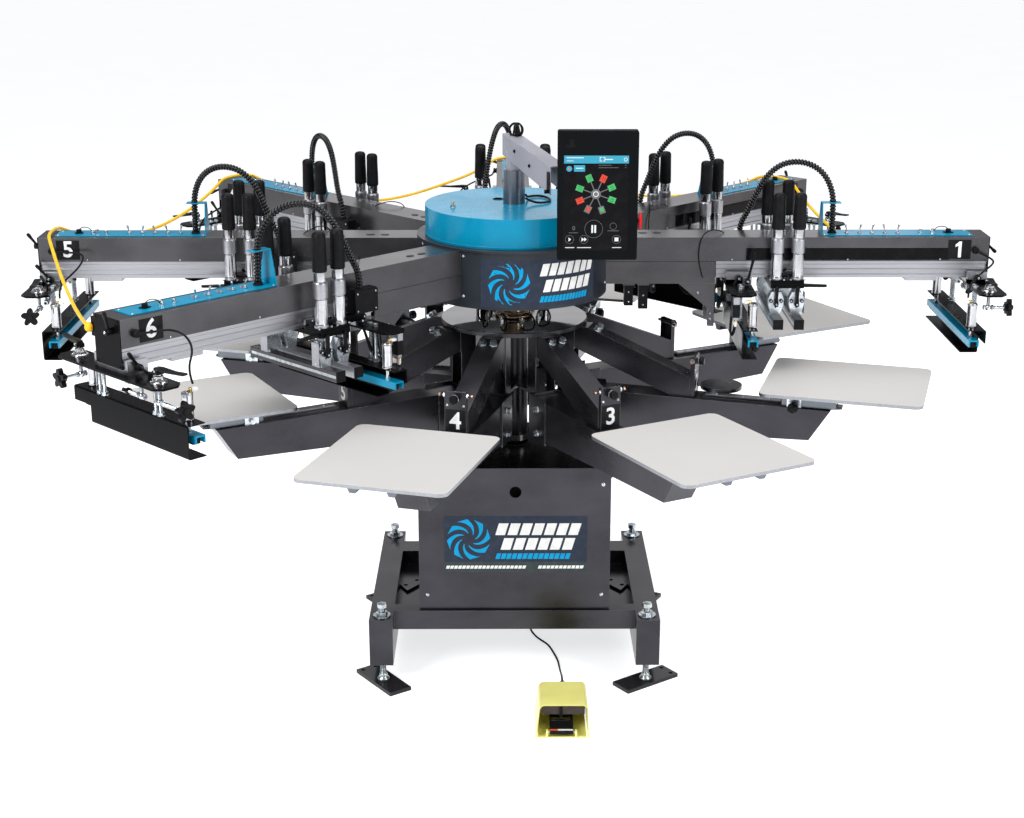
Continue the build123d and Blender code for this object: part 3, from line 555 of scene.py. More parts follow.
class Piece:
    """A piece in the making: solids are added one by one, each with its own finish."""

    def __init__(self):
        self.mesh = bmesh.new()
        self.finishes = []

    def slot(self, finish):
        if finish not in self.finishes:
            self.finishes.append(finish)
        return self.finishes.index(finish)

    def add(self, points, faces, finish, place, edge=0.0):
        corners = [self.mesh.verts.new(place @ Vector(point)) for point in points]
        fresh = [self.mesh.faces.new([corners[index] for index in face]) for face in faces]
        for face in fresh:
            face.material_index = self.slot(finish)
        if edge:
            rims = {rim for face in fresh for rim in face.edges if rim.calc_face_angle(0) > BEND}
            bmesh.ops.bevel(
                self.mesh,
                geom=list(rims),
                offset=edge,
                segments=2,
                profile=0.5,
                affect="EDGES",
                clamp_overlap=True,
            )

    def loft(self, loops, finish, place=UPRIGHT, edge=0.0, ring=False):
        """Walls between loops of as many points each; a ring's last loop joins its first."""
        size, rows = len(loops[0]), len(loops)
        points = [point for loop in loops for point in loop]
        last = len(points) - size
        faces = [] if ring else [list(range(size))[::-1], list(range(last, last + size))]
        for row in range(rows if ring else rows - 1):
            low, high = row * size, (row + 1) % rows * size
            for step in range(size):
                after = (step + 1) % size
                faces.append([low + step, low + after, high + after, high + step])
        self.add(points, faces, finish, place, edge)

    def prism(self, outline, span, finish, place=UPRIGHT, edge=0.6):
        """An outline drawn along local z over span, with eased edges."""
        loops = [[(*corner, height) for corner in outline] for height in span]
        self.loft(loops, finish, place, edge)

    def block(self, x, y, z, finish, place=UPRIGHT, edge=0.6):
        self.prism(rectangle(sorted(x), sorted(y)), sorted(z), finish, place, edge)

    def turned(self, profile, finish, place=UPRIGHT, sides=24, flutes=0, depth=0.0, ring=False):
        """A (radius, height) profile turned about local z, with flutes along it.

        A ring's profile is closed, so it needs no caps at its ends.
        """
        points, rings, faces = [], [], []
        for radius, height in profile:
            if radius == 0:
                rings.append([len(points)] * sides)
                points.append((0, 0, height))
                continue
            rings.append(list(range(len(points), len(points) + sides)))
            for side in range(sides):
                angle = math.tau * side / sides
                reach = radius - depth * (1 + math.cos(flutes * angle)) / 2
                points.append((reach * math.cos(angle), reach * math.sin(angle), height))
        for low, high in zip(rings, rings[1:] + rings[:1] if ring else rings[1:]):
            for side in range(sides):
                after = (side + 1) % sides
                loop = [low[side], low[after], high[after], high[side]]
                faces.append(list(dict.fromkeys(loop)))
        for end in (rings[0][::-1], rings[-1]):
            if len(set(end)) > 1 and not ring:
                faces.append(end)
        self.add(points, faces, finish, place)

    def rod(self, radius, span, finish, place=UPRIGHT, sides=24, ease=0.6):
        """A round bar with chamfered ends."""
        low, high = sorted(span)
        ease = min(ease, (high - low) / 3, radius / 2)
        profile = [(radius - ease, low), (radius, low + ease)]
        profile += [(radius, high - ease), (radius - ease, high)]
        self.turned(profile, finish, place, sides)

    def thread(self, radius, span, finish, place=UPRIGHT, pitch=2.5, sides=14):
        """A threaded rod: ridges a pitch apart."""
        low, high = span
        turns = max(1, round((high - low) / pitch))
        step = (high - low) / turns
        profile = []
        for turn in range(turns):
            profile += [(radius * 0.88, low + turn * step), (radius, low + (turn + 0.5) * step)]
        profile.append((radius * 0.88, high))
        self.turned(profile, finish, place, sides)

    def nut(self, across, height, place, turn=0.0, finish=ZINC):
        """A hexagon nut or bolt head standing on the place's origin."""
        self.prism(polygon(6, across / math.sqrt(3), turn), (0, height), finish, place, 0.8)

    def hoop(self, radius, thick, finish, place=UPRIGHT, sides=36, section=8):
        """A ring of round wire about local z."""
        loops = []
        for side in range(sides):
            angle = math.tau * side / sides
            cos, sin = math.cos(angle), math.sin(angle)
            wire = [(radius + x, rise) for x, rise in polygon(section, thick)]
            loops.append([(reach * cos, reach * sin, rise) for reach, rise in wire])
        self.loft(loops, finish, place, ring=True)

    def bent_sheet(self, radius, bearings, heights, thick, finish):
        """A thin sheet bent round the machine's axis."""
        first, last = bearings
        steps = max(2, round((last - first) / 3))
        angles = [math.radians(first + (last - first) * step / steps) for step in range(steps + 1)]
        outline = [(radius * math.cos(angle), radius * math.sin(angle)) for angle in angles]
        outer = radius + thick
        outline += [(outer * math.cos(angle), outer * math.sin(angle)) for angle in angles[::-1]]
        self.prism(outline, heights, finish, UPRIGHT, 0)

    def washer(self, radius, height, place):
        self.rod(radius, (0, height), ZINC, place, 28, 0.5)

    def cap_screw(self, radius, height, place, finish=ZINC):
        """A socket-head screw standing on the place's origin, its socket sunk in the top."""
        socket = radius * 0.5
        profile = [(radius, 0), (radius, height - 0.6), (radius - 0.6, height)]
        profile += [(socket, height), (socket, height * 0.45), (0, height * 0.45)]
        self.turned(profile, finish, place, 12)

    def button_screw(self, radius, place, finish=ZINC):
        height = radius * 0.55
        profile = [(radius, 0), (radius * 0.97, height * 0.3), (radius * 0.72, height * 0.8)]
        profile += [(radius * 0.38, height), (radius * 0.38, height * 0.4), (0, height * 0.4)]
        self.turned(profile, finish, place, 14)

    def bolt(self, across, place):
        """A hexagon-head bolt on a washer."""
        self.washer(across * 0.72, across * 0.1, place)
        self.nut(across, across * 0.62, place @ shifted(0, 0, across * 0.1))

    def merge(self, data, finish, place):
        """Adds a mesh that Blender made from a curve, in metres."""
        before = len(self.mesh.verts), len(self.mesh.faces)
        self.mesh.from_mesh(data)
        self.mesh.verts.ensure_lookup_table()
        self.mesh.faces.ensure_lookup_table()
        for vertex in self.mesh.verts[before[0]:]:
            vertex.co = place @ (vertex.co / MM)
        for face in self.mesh.faces[before[1]:]:
            face.material_index = self.slot(finish)
        bpy.data.meshes.remove(data)

    def wire(self, route, diameter, finish, place=UPRIGHT):
        """A thin wire or air line on a smooth curve through the route."""
        line = spline("wire_route", route, diameter, None)
        line.data.bevel_resolution = 2
        line.data.resolution_u = 5
        data = bpy.data.meshes.new_from_object(line)
        bpy.data.objects.remove(line)
        self.merge(data, finish, place)

    def figure(self, text, height, finish, place, thickness=0.15, weight=0.0):
        """Raised figures whose middle is the place's origin."""
        words = bpy.data.curves.new("figure", "FONT")
        words.body = text
        words.size = height * TYPE_SIZE * MM
        words.align_x = words.align_y = "CENTER"
        words.offset = weight * MM
        words.extrude = thickness * MM
        words.resolution_u = 5
        sign = bpy.data.objects.new("figure", words)
        data = bpy.data.meshes.new_from_object(sign)
        bpy.data.objects.remove(sign)
        self.merge(data, finish, place)

    def data(self, name):
        """The finished mesh, in metres."""
        bmesh.ops.recalc_face_normals(self.mesh, faces=self.mesh.faces)
        for vertex in self.mesh.verts:
            vertex.co *= MM
        for face in self.mesh.faces:
            face.smooth = True
        data = bpy.data.meshes.new(name)
        self.mesh.to_mesh(data)
        self.mesh.free()
        for finish in self.finishes:
            data.materials.append(finish)
        data.set_sharp_from_angle(angle=SOFT)
        return data


def mesh_of(build):
    """Makes a function that adds solids to a piece into one that gives the finished mesh."""

    def made(*wants):
        piece = Piece()
        build(piece, *wants)
        return piece.data(build.__name__)

    return made


def show(data, name, body, stands_for=(), turn=0.0):
    """Places a finished mesh, turned about the machine's axis, on the body that carries it."""
    piece = put(name, data)
    piece.matrix_world = swung(turn)
    shading = piece.modifiers.new("even_shading", "WEIGHTED_NORMAL")
    shading.keep_sharp = True
    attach(piece, body)
    if stands_for:
        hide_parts(*stands_for)
    return piece


# ---------------------------------------------------------------- hand controls
def star_knob(piece, place, radius, thick, lobes=5):
    """A lobed hand knob whose back is at the place's origin, with its hub and stud end."""
    outline = []
    points = lobes * 8
    for step in range(points):
        angle = math.tau * step / points
        wave = (1 + math.cos(lobes * angle)) / 2
        reach = radius * (0.52 + 0.48 * wave ** 0.7)
        outline.append((reach * math.cos(angle), reach * math.sin(angle)))
    piece.rod(radius * 0.42, (0, thick * 0.45), PLASTIC, place)
    piece.prism(outline, (thick * 0.3, thick * 0.86), PLASTIC, place, radius * 0.07)
    piece.rod(radius * 0.34, (thick * 0.8, thick), PLASTIC, place)


def lever(piece, place, length, hub=8.0, rise=10.0, lean=14.0):
    """An adjustable clamp lever: a ribbed hub on local z and a tapered arm along local x."""
    boss = [(hub * 0.8, 0), (hub, 2), (hub, rise), (hub * 0.86, rise + 3)]
    boss += [(hub * 0.5, rise + 4), (0, rise + 4)]
    piece.turned(boss, PLASTIC, place, 20)
    piece.cap_screw(hub * 0.42, 2.4, place @ shifted(0, 0, rise + 3.4))
    arm = place @ shifted(0, 0, rise * 0.55) @ aim((0, 0, 0), (1, 0, math.tan(math.radians(lean))))
    shares = ((0.55, 0), (0.42, 0.35), (0.46, 0.6), (0.62, 0.86), (0.56, 0.96), (0.3, 1), (0, 1))
    piece.turned([(hub * wide, length * along) for wide, along in shares], PLASTIC, arm, 14)


def cam_handle(piece, place, length):
    """A flat cam handle on a forked pivot, lying along local x."""
    piece.block((-9, 9), (-11, 11), (0, 10), PLASTIC, place, 2)
    piece.rod(3, (-13, 13), ZINC, place @ aim((0, 0, 9), (0, 1, 0)), 12)
    outline = [(-9, 5), (-7, 17), (12, 19), (length * 0.6, 16.5), (length, 19), (length, 14)]
    outline += [(16, 9), (9, 4)]
    sideways = place @ Matrix.Rotation(math.radians(90), 4, "X")
    piece.prism(outline, (-8, 8), PLASTIC, sideways, 2.0)


def push_fitting(piece, place, ring=None):
    """An air line's push-in fitting: brass nut, white body and a coloured release ring."""
    piece.nut(10, 5, place, finish=BRASS)
    piece.rod(5.2, (5, 17), WHITE, place, 16)
    piece.rod(3.8, (17, 20.5), ring or ORANGE, place, 14)


# ---------------------------------------------------------------- print carriages
STROKE_R = 818
CYLINDERS_R = (787, 849)
CYLINDER_S = 113
# the carriage plate's underside, the joint between its two layers, and its top
PLATE_LOW, PLATE_JOINT, PLATE_TOP = 1199, 1211, 1223
PLATE_HALF_R, PLATE_HALF_S = 50, 135
# the flat handle under the plate, as r and s
HANDLE = [(858, 112), (872, 108), (935, 120), (938, 126), (930, 130), (872, 128), (858, 126)]


def hand_grip(piece, place):
    """A moulded grip with a rounded top and shallow flutes, on the cylinder's rod."""
    grip = [(17.6, 1375), (19.6, 1377), (20, 1384), (19.6, 1410), (18.8, 1440), (18.4, 1466)]
    grip += [(18.6, 1471), (17.6, 1477), (14, 1481.5), (8, 1483.6), (0, 1484)]
    piece.turned(grip, RUBBER, place, 32, 16, 0.9)


def air_cylinder(piece, place):
    """A polished barrel between two caps, with its rod and grip above."""
    piece.rod(20, (PLATE_TOP, 1229), ALUMINIUM, place)
    barrel = [(18, 1229), (18, 1232), (17.2, 1233), (17.2, 1235), (18, 1236), (18, 1300)]
    barrel += [(17.2, 1301), (17.2, 1304)]
    piece.turned(barrel, CHROME, place, 32)
    collar = [(19.4, 1304), (20.4, 1306), (20.4, 1344), (19.4, 1346), (17.4, 1349)]
    piece.turned(collar, ALUMINIUM, place, 32)
    piece.block((12, 19.2), (-4.5, 4.5), (1318, 1334), ZINC, place, 0.8)
    sleeve = [(15.5, 1349), (16.6, 1350), (16.6, 1375), (15.5, 1376)]
    piece.turned(sleeve, CHROME, place, 32, 16, 0.7)
    hand_grip(piece, place)


@mesh_of
def print_carriage(piece):
    """The plate under the rail, its four handled air cylinders and the hose's junction box."""
    near, far = STROKE_R - PLATE_HALF_R, STROKE_R + PLATE_HALF_R
    lower, upper = (PLATE_LOW, PLATE_JOINT), (PLATE_JOINT + 0.2, PLATE_TOP)
    piece.block((near, far), (-PLATE_HALF_S, PLATE_HALF_S), lower, BLACK, edge=1.2)
    for side in (-1, 1):
        piece.block((near, far), (side * 62, side * PLATE_HALF_S), upper, BLACK, edge=1.2)
        slider = (side * 53, side * 61.5)
        piece.block((near + 6, far - 6), slider, (PLATE_JOINT, 1236), ALUMINIUM)
        for r in CYLINDERS_R:
            air_cylinder(piece, aim((r, side * CYLINDER_S, 0)))
            for corner in (-21, 21):
                screw = aim((r + corner, side * (CYLINDER_S + 17), PLATE_TOP))
                piece.cap_screw(3.2, 3.4, screw)
        lever(piece, aim((860, side * 90, PLATE_TOP), turn=-side * 28), 66, 8.5, 12, 6)
        piece.prism([(r, side * s) for r, s in HANDLE[::side]], (1201, 1208), PLASTIC, edge=1.5)
        lever(piece, aim((792, side * 78, PLATE_TOP), turn=side * 150), 40, 7, 9, 20)
    piece.block((700, 768), (84, 112), (1217, 1236), BLACK, edge=1.5)
    piece.block((650, 730), (80, 116), (1236, 1300), PLASTIC, edge=3)
    piece.block((653, 727), (83, 113), (1300, 1303), PLASTIC, edge=1)
    piece.turned([(14, 1303), (14, 1305), (11.5, 1306), (11.5, 1307.6)], PLASTIC, aim((698, 96, 0)))
    for r in (658, 722):
        for z in (1244, 1292):
            piece.cap_screw(2.6, 1.6, aim((r, 116, z), (0, 1, 0)))
    for r, ring in ((680, BLUE_TUBE), (704, ORANGE)):
        push_fitting(piece, aim((r, 80, 1262), (0, -1, 0)), ring)
    line = [(680, 60, 1262), (682, 50, 1250), (700, 60, 1236), (760, 66, 1232), (787, 96, 1230)]
    piece.wire(line, 5, RUBBER)


# ---------------------------------------------------------------- squeegee and flood bars
BAR_LOW, BAR_TOP = 1085, 1115
BAR_HALF, BAR_END_S = 15, 187
HANGER_TOP = 1186


def tool_hanger(piece, radius, side):
    """A zinc clamp of two six-sided cheeks round a lug, with its knobs and lever."""
    half = [(14, BAR_TOP), (23, 1148), (23, 1166), (14, HANGER_TOP)]
    cheek = [(radius - 14, BAR_TOP)] + [(radius + r, z) for r, z in half]
    cheek += [(radius - r, z) for r, z in half[:0:-1]]
    for inner in (98, 122):
        piece.prism(cheek, sorted((side * (inner + 0.8), side * (inner + 5.2))), ZINC, ACROSS, 0.7)
    for reach, inner, span in ((14, 104, (1150, HANGER_TOP)), (19, 103, (BAR_TOP, 1121))):
        width, depth = (radius - reach, radius + reach), (side * inner, side * (226 - inner))
        piece.block(width, depth, span, ZINC, edge=1)
    face = side * 127.2
    out = (0, side, 0)
    piece.rod(2.4, (0, 1.6), PLASTIC, aim((radius, face, 1139), out), 12)
    for r in (-15.5, 15.5):
        piece.rod(5.4, (-2, 7), PLASTIC, aim((radius + r, face, 1159), out), 16)
        piece.button_screw(3, aim((radius + r, face + side * 7, 1159), out))
    pivot = aim((radius, face, 1150), out)
    piece.rod(7.5, (0, 6), PLASTIC, pivot, 18)
    half = [(5.2, 1143), (6.2, 1152), (4.2, 1172), (5.4, 1198), (3.6, 1207)]
    arm = [(radius - 5.2, 1143)] + [(radius + r, z) for r, z in half]
    arm += [(radius - r, z) for r, z in half[:0:-1]]
    piece.prism(arm, sorted((side * 133.5, side * 141)), PLASTIC, ACROSS, 1.6)
    piece.cap_screw(3, 2, aim((radius, side * 141, 1150), out))


@mesh_of
def tool_unit(piece, radius, bar, back_plates):
    """A square bar across the head on two rods, with a hanger at each."""
    width = (radius - BAR_HALF, radius + BAR_HALF)
    section = rounded(rectangle(width, (BAR_LOW, BAR_TOP)), 2, 2)
    piece.prism(section, (-BAR_END_S, BAR_END_S), bar, ACROSS, 0)
    for strip in ((radius - 15.2, radius - 14.4), (radius + 14.4, radius + 15.2)):
        piece.block(strip, (-185, 185), (1096, 1104), ZINC, edge=0)
    for side in (-1, 1):
        face = side * (BAR_END_S + 3)
        piece.block(width, (side * BAR_END_S, face), (BAR_LOW, BAR_TOP), PLASTIC, edge=1.2)
        inset = (radius - 11, radius + 11)
        piece.block(inset, (face, side * 190.8), (1089, 1111), PLASTIC, edge=0.3)
        piece.rod(8, (HANGER_TOP, 1283), CHROME, aim((radius, side * CYLINDER_S, 0)))
        piece.nut(22, 7, aim((radius, side * CYLINDER_S, HANGER_TOP)))
        tool_hanger(piece, radius, side)
        if back_plates:
            plate_s = (side * 98, side * 128)
            piece.block((radius + 23.2, radius + 24.6), plate_s, (1118, 1184), ALUMINIUM, edge=0.5)
            for z in (1126, 1176):
                piece.button_screw(2.6, aim((radius + 24.6, side * 113, z), (1, 0, 0)))


# ---------------------------------------------------------------- screen holders
WEB_IN_R, WEB_OUT_R = 672, 1388
CHANNEL_LOW, CHANNEL_TOP = 1012, 1100
NOTCH_S, NOTCH_Z = 180, 1060
HALF_S = 256
HANGER_PLATE_LOW, HANGER_PLATE_TOP = 1194, 1200
HANGER_PLATE_HALF, HANGER_PLATE_CUT = 232, 20
CLAMP_CYLINDER_S = 213
DOME_R, DOME_S = 1412, 178


def holder_channel(piece, web, out, notch_side):
    """A folded sheet channel with its open side towards `out`, cut away below at one end."""
    lip = web + out * (45 if out > 0 else 50)
    back, front = (web, web + 3) if out > 0 else (web + 3, web)
    low, high = CHANNEL_LOW, CHANNEL_TOP
    fold = 5
    head = [(lip, high), (back + out * fold, high), (back + out * 1.5, high - 1.5)]
    head.append((back, high - fold))
    tail = [(front, high - 6), (front + out * 3, high - 3), (lip, high - 3)]
    foot = [(back, low + fold), (back + out * 1.5, low + 1.5), (back + out * fold, low), (lip, low)]
    foot += [(lip, low + 3), (front + out * 3, low + 3), (front, low + 6)]
    cut = [(back, NOTCH_Z), (front, NOTCH_Z)]
    for middle, end in ((foot, -HALF_S), (cut, HALF_S)):
        span = sorted((notch_side * NOTCH_S, notch_side * end))
        piece.prism(head + middle + tail, span, BLACK, ACROSS, 0.5)


def screen_clamp(piece, radius, feed):
    """A padded clamp bar and the two air cylinders that press it down."""
    bar = [(-15, 1050), (-15, 1070), (15, 1070), (15, 1050), (11, 1050), (11, 1066)]
    bar += [(-11, 1066), (-11, 1050)]
    piece.prism([(radius + r, z) for r, z in bar], (-260, 260), CYAN, ACROSS, 0.5)
    piece.block((radius - 10.9, radius + 10.9), (-243, 243), (1044, 1064), RUBBER, edge=1.5)
    barrel = [(13.4, 1100), (15, 1101), (15, 1106), (14.2, 1107), (14.2, 1165), (15, 1166)]
    cap = [(15, 1166), (15, 1170), (13.4, 1172), (6, 1172), (6, 1170), (0, 1170)]
    elbow_r = radius + feed * 8
    for side in (-1, 1):
        s = side * CLAMP_CYLINDER_S
        place = aim((radius, s, 0))
        piece.rod(5, (1066, 1101), CHROME, place, 16)
        piece.nut(13, 5, aim((radius, s, 1070)))
        piece.turned(barrel, CHROME, place, 28)
        piece.turned(cap, ALUMINIUM, place, 28)
        piece.button_screw(4, aim((radius, s, 1170)))
        piece.rod(4.5, (-2, 9), BRASS, aim((elbow_r, s, 1172)), 14)
        push_fitting(piece, aim((elbow_r, s, 1177), (feed, 0.35 * side, 0)), WHITE)


def holder_hanger(piece, plate_r, stud_r, block_r):
    """The micro-adjust plate on four threaded studs, clamped to the rail by two blocks."""
    near, far = plate_r
    half, cut = HANGER_PLATE_HALF, HANGER_PLATE_CUT
    low, top = HANGER_PLATE_LOW, HANGER_PLATE_TOP
    outline = [(near + cut, -half), (far - cut, -half), (far, cut - half), (far, half - cut)]
    outline += [(far - cut, half), (near + cut, half), (near, half - cut), (near, cut - half)]
    piece.prism(outline, (low, top), BLACK, edge=1)
    piece.block(block_r, (-75, 75), (top, 1212.4), ALUMINIUM, edge=1)
    middle = (block_r[0] + block_r[1]) / 2
    for side in (-1, 1):
        for span in ((top, 1235), (1179, low)):
            piece.block(block_r, (side * 58.5, side * 75), span, ALUMINIUM, edge=1.4)
        lever(piece, aim((middle, side * 75, 1218), (0, side, 0), turn=side * 128), 58, 9, 12, 10)
        for s in (116, 137):
            piece.thread(5, (1096, 1208), ZINC, aim((stud_r, side * s, 0)), 2)
            piece.washer(10, 1.6, aim((stud_r, side * s, CHANNEL_TOP)))
            for height, z, turn in ((7, 1101.6, side * s), (6, 1188, s), (6.5, top, s * 2)):
                piece.nut(16, height, aim((stud_r, side * s, z)), turn)


def stepped_dome(piece, place):
    """A plated pivot: a flange, two steps and a nut under a cam handle."""
    profile = [(22, 0), (22, 3), (20.5, 4.5), (17, 6), (16, 11), (13, 12.5), (12.5, 18), (9, 20)]
    piece.turned(profile + [(9, 22), (0, 22)], CHROME, place, 32)
    piece.nut(13, 5, place @ shifted(0, 0, 20), 10)
    for angle in (30, 150, 270):
        piece.cap_screw(2.2, 1.6, place @ swung(angle) @ shifted(18.6, 0, 4.4))


def adjuster(piece, r, s, bearing, reach, knob):
    """An eye bolt under the plate and the threaded spindle through it, with its knob."""
    piece.thread(5.2, (1156, 1194), ZINC, aim((r, s, 0)), 2)
    piece.nut(15, 6, aim((r, s, 1187)), 12)
    eye = [(5, 1158), (8, 1155), (9.6, 1150), (8, 1145), (4, 1142), (0, 1141)]
    piece.turned(eye, CHROME, aim((r, s, 0)), 20)
    out = level(math.radians(bearing))
    start = Vector((r, s, 1150))
    piece.thread(4.6, (-14, reach), ZINC, aim(start, out), 1.8)
    piece.nut(14, 6, aim(start + out * 10, out), 20)
    piece.nut(14, 5, aim(start - out * 14, out), 5)
    end = start + out * reach
    if knob > 15:
        star_knob(piece, aim(end, out, 20), knob, 24)
    else:
        piece.rod(8.5, (0, 9), PLASTIC, aim(end, out), 18)
        piece.block((-knob, knob), (-4.5, 4.5), (7, 20), PLASTIC, aim(end, out, 25), 2)


@mesh_of
def inner_holder(piece):
    """The fixed screen holder by the drum, with its gussets, air valves and their lines."""
    holder_channel(piece, WEB_IN_R, 1, 1)
    screen_clamp(piece, WEB_IN_R + 32.6, -1)
    holder_hanger(piece, (640, 716), WEB_IN_R + 8, (642, 716))
    for side in (-1, 1):
        clamp = (side * 76, side * 96)
        piece.block((690, 716), clamp, (HANGER_PLATE_TOP, 1222), ALUMINIUM, edge=1.2)
        lever(piece, aim((703, side * 96, 1212), (0, side, 0.1), turn=-side * 78), 92, 9, 12, 8)
    gusset = [(500, 1195), (611, 1195), (611, 1062), (593, 1062), (590, 1066), (590, 1118)]
    for side in (-1, 1):
        piece.prism(gusset, sorted((side * 51, side * 55)), STEEL, ACROSS, 0.8)
        piece.block((604, 611), (side * 30, side * 51), (1062, 1195), STEEL, edge=0.8)
        for r, z in ((560, 1166), (600, 1084), (600, 1100)):
            piece.button_screw(4.4, aim((r, side * 55, z), (0, side, 0)))
    # air valves and their lines behind the channel
    for side in (-1, 1):
        valve = (side * 176, side * 214)
        piece.block((646, 668), valve, (1128, 1168), PLASTIC, edge=2)
        piece.block((650, 664), (side * 180, side * 210), (1120, 1128), ALUMINIUM, edge=1)
        piece.block((648, 666), valve, (1168, 1190), ALUMINIUM, edge=1)
        for s, ring in ((183, WHITE), (195, RED), (207, WHITE)):
            push_fitting(piece, aim((657, side * s, 1120), (0, 0, -1)), ring)
            line = [(657, s, 1100), (655, s, 1080), (648, s - 22, 1062), (651, s - 60, 1078)]
            line += [(658, s - 74, 1130), (658, s - 78, 1192)]
            piece.wire([(r, side * slide, z) for r, slide, z in line], 4.5, RUBBER)


@mesh_of
def outer_holder(piece):
    """The holder that slides to the screen's size, with its pivots, cam handles and adjusters."""
    holder_channel(piece, WEB_OUT_R, -1, -1)
    screen_clamp(piece, WEB_OUT_R - 32, -1)
    holder_hanger(piece, (1373, 1455), WEB_OUT_R - 4, (1373, 1432))
    for side, length in ((-1, 84), (1, 100)):
        stepped_dome(piece, aim((DOME_R, side * DOME_S, HANGER_PLATE_TOP)))
        cam_handle(piece, aim((DOME_R, side * DOME_S, 1222), turn=-side * 84), length)
    lever(piece, aim((1396, 120, HANGER_PLATE_TOP), turn=150), 42, 7.5, 9, 40)
    adjuster(piece, DOME_R, -DOME_S, 0, 48, 27)
    adjuster(piece, DOME_R, 100, -90, 55, 10)
    adjuster(piece, DOME_R, DOME_S, 90, 92, 27)


# ---------------------------------------------------------------- head beams and strips
BEAM_SIDE = 57.75
BEAM_TOP = 1338.5
BEAM_END = 1434
END_PLATE_FACE = BEAM_END + 3
STRIP_TOP = 1341
RAIL_START = 613
STOP_FOOT_Z = 1203
BADGE_PRINT = 0.5


@mesh_of
def head_rail(piece):
    """The aluminium extrusion that the carriage runs on, lipped along its lower edge."""
    side = [(50, 1212.8), (50, 1222), (47.5, 1224), (47.5, 1236), (49, 1237), (49, 1240)]
    side += [(47.5, 1241), (47.5, 1253), (50, 1255), (50, 1264.6)]
    section = side + [(-s, z) for s, z in side[::-1]]
    piece.prism(section, (RAIL_START, BEAM_END), ALUMINIUM, OUTWARD, 0.5)
    piece.block((1190, 1285), (-50, 50), (STOP_FOOT_Z, 1212.6), ALUMINIUM, edge=1.2)
    for s in (-34, 34):
        for r in (1204, 1271):
            piece.cap_screw(4, 3, aim((r, s, STOP_FOOT_Z), (0, 0, -1)))


def toggle(piece, r, s, lean):
    """A bat toggle switch: hexagon nut, threaded bushing and a leaning bat."""
    base = aim((r, s, STRIP_TOP))
    piece.nut(13, 2.4, base, 15)
    piece.thread(4.4, (2.4, 8), ZINC, base, 1.4, 12)
    bat = aim((r, s, STRIP_TOP + 7), (math.sin(lean), 0.1, math.cos(lean)))
    piece.turned([(1.7, 0), (1.8, 6), (3.2, 15), (2.9, 18), (0, 19.5)], CHROME, bat, 12)


@mesh_of
def control_fittings(piece):
    """Switches, dials, lamps and a connector along a head's control strip."""
    lamp = [(2.6, 0), (2.6, 1.2), (1.6, 2.2), (0, 2.5)]
    for r, lean in ((1014, -0.25), (1053, 0.30), (1091, 0.30), (1130, -0.25), (1169, 0.30)):
        toggle(piece, r, 4, lean)
        piece.turned(lamp, ORANGE, aim((r, -14, STRIP_TOP)), 12)
    for r, s in ((1239, 6), (1270, -10), (1278, 10)):
        base = aim((r, s, STRIP_TOP))
        piece.nut(12, 1.8, base, 10)
        piece.turned([(4.8, 1.8), (4.8, 9), (4, 10.5), (0, 10.5)], CHROME, base, 20, 10, 0.4)
    plug = aim((1323, 0, STRIP_TOP), turn=20)
    piece.block((-12, 12), (-10, 10), (0, 3), PLASTIC, plug, 1)
    piece.rod(8, (3, 12), PLASTIC, plug, 20)
    loop = [(1281, 6, 1346), (1286, 5, 1356), (1302, 2, 1361), (1318, 0, 1358), (1323, 0, 1350)]
    piece.wire(loop, 2.4, RUBBER)
    for r in (941, 1380):
        for s in (-31, 31):
            piece.button_screw(3.4, aim((r, s, STRIP_TOP)))
    collar = aim((968, 0, STRIP_TOP))
    piece.turned([(14, 0), (14, 3), (11.5, 4.5), (11.5, 9), (8.6, 9)], PLASTIC, collar)


# a plain upright figure one, a unit high
FIGURE_ONE = [(-0.03, 0.5), (0.12, 0.5), (0.12, -0.5), (-0.07, -0.5), (-0.07, 0.24)]
FIGURE_ONE += [(-0.26, 0.15), (-0.26, 0.3)]


def number_badge(piece, text, place, width, height, figure):
    """A black square with a pale figure on it."""
    across, up = (-width / 2, width / 2), (-height / 2, height / 2)
    piece.block(across, up, (0, BADGE_PRINT), VINYL, place, 0.2)
    if text == "1":
        outline = [(x * figure, y * figure) for x, y in FIGURE_ONE]
        piece.prism(outline, (BADGE_PRINT, 0.8), FIGURE, place, 0)
    else:
        face = place @ shifted(0, 0, BADGE_PRINT)
        piece.figure(text, figure, FIGURE, face, weight=figure * 0.028)


def standing(origin, bearing):
    """A place on an upright face that looks along bearing: x to its right, y up, z out."""
    out = level(math.radians(bearing))
    right = Vector((-out.y, out.x, 0))
    axes = Matrix((right, (0, 0, 1), out)).transposed().to_4x4()
    return Matrix.Translation(origin) @ axes


# how far each head's end lever is turned, in degrees
END_LEVER_TURNS = (200, 52, 20, 340, 52, 75)


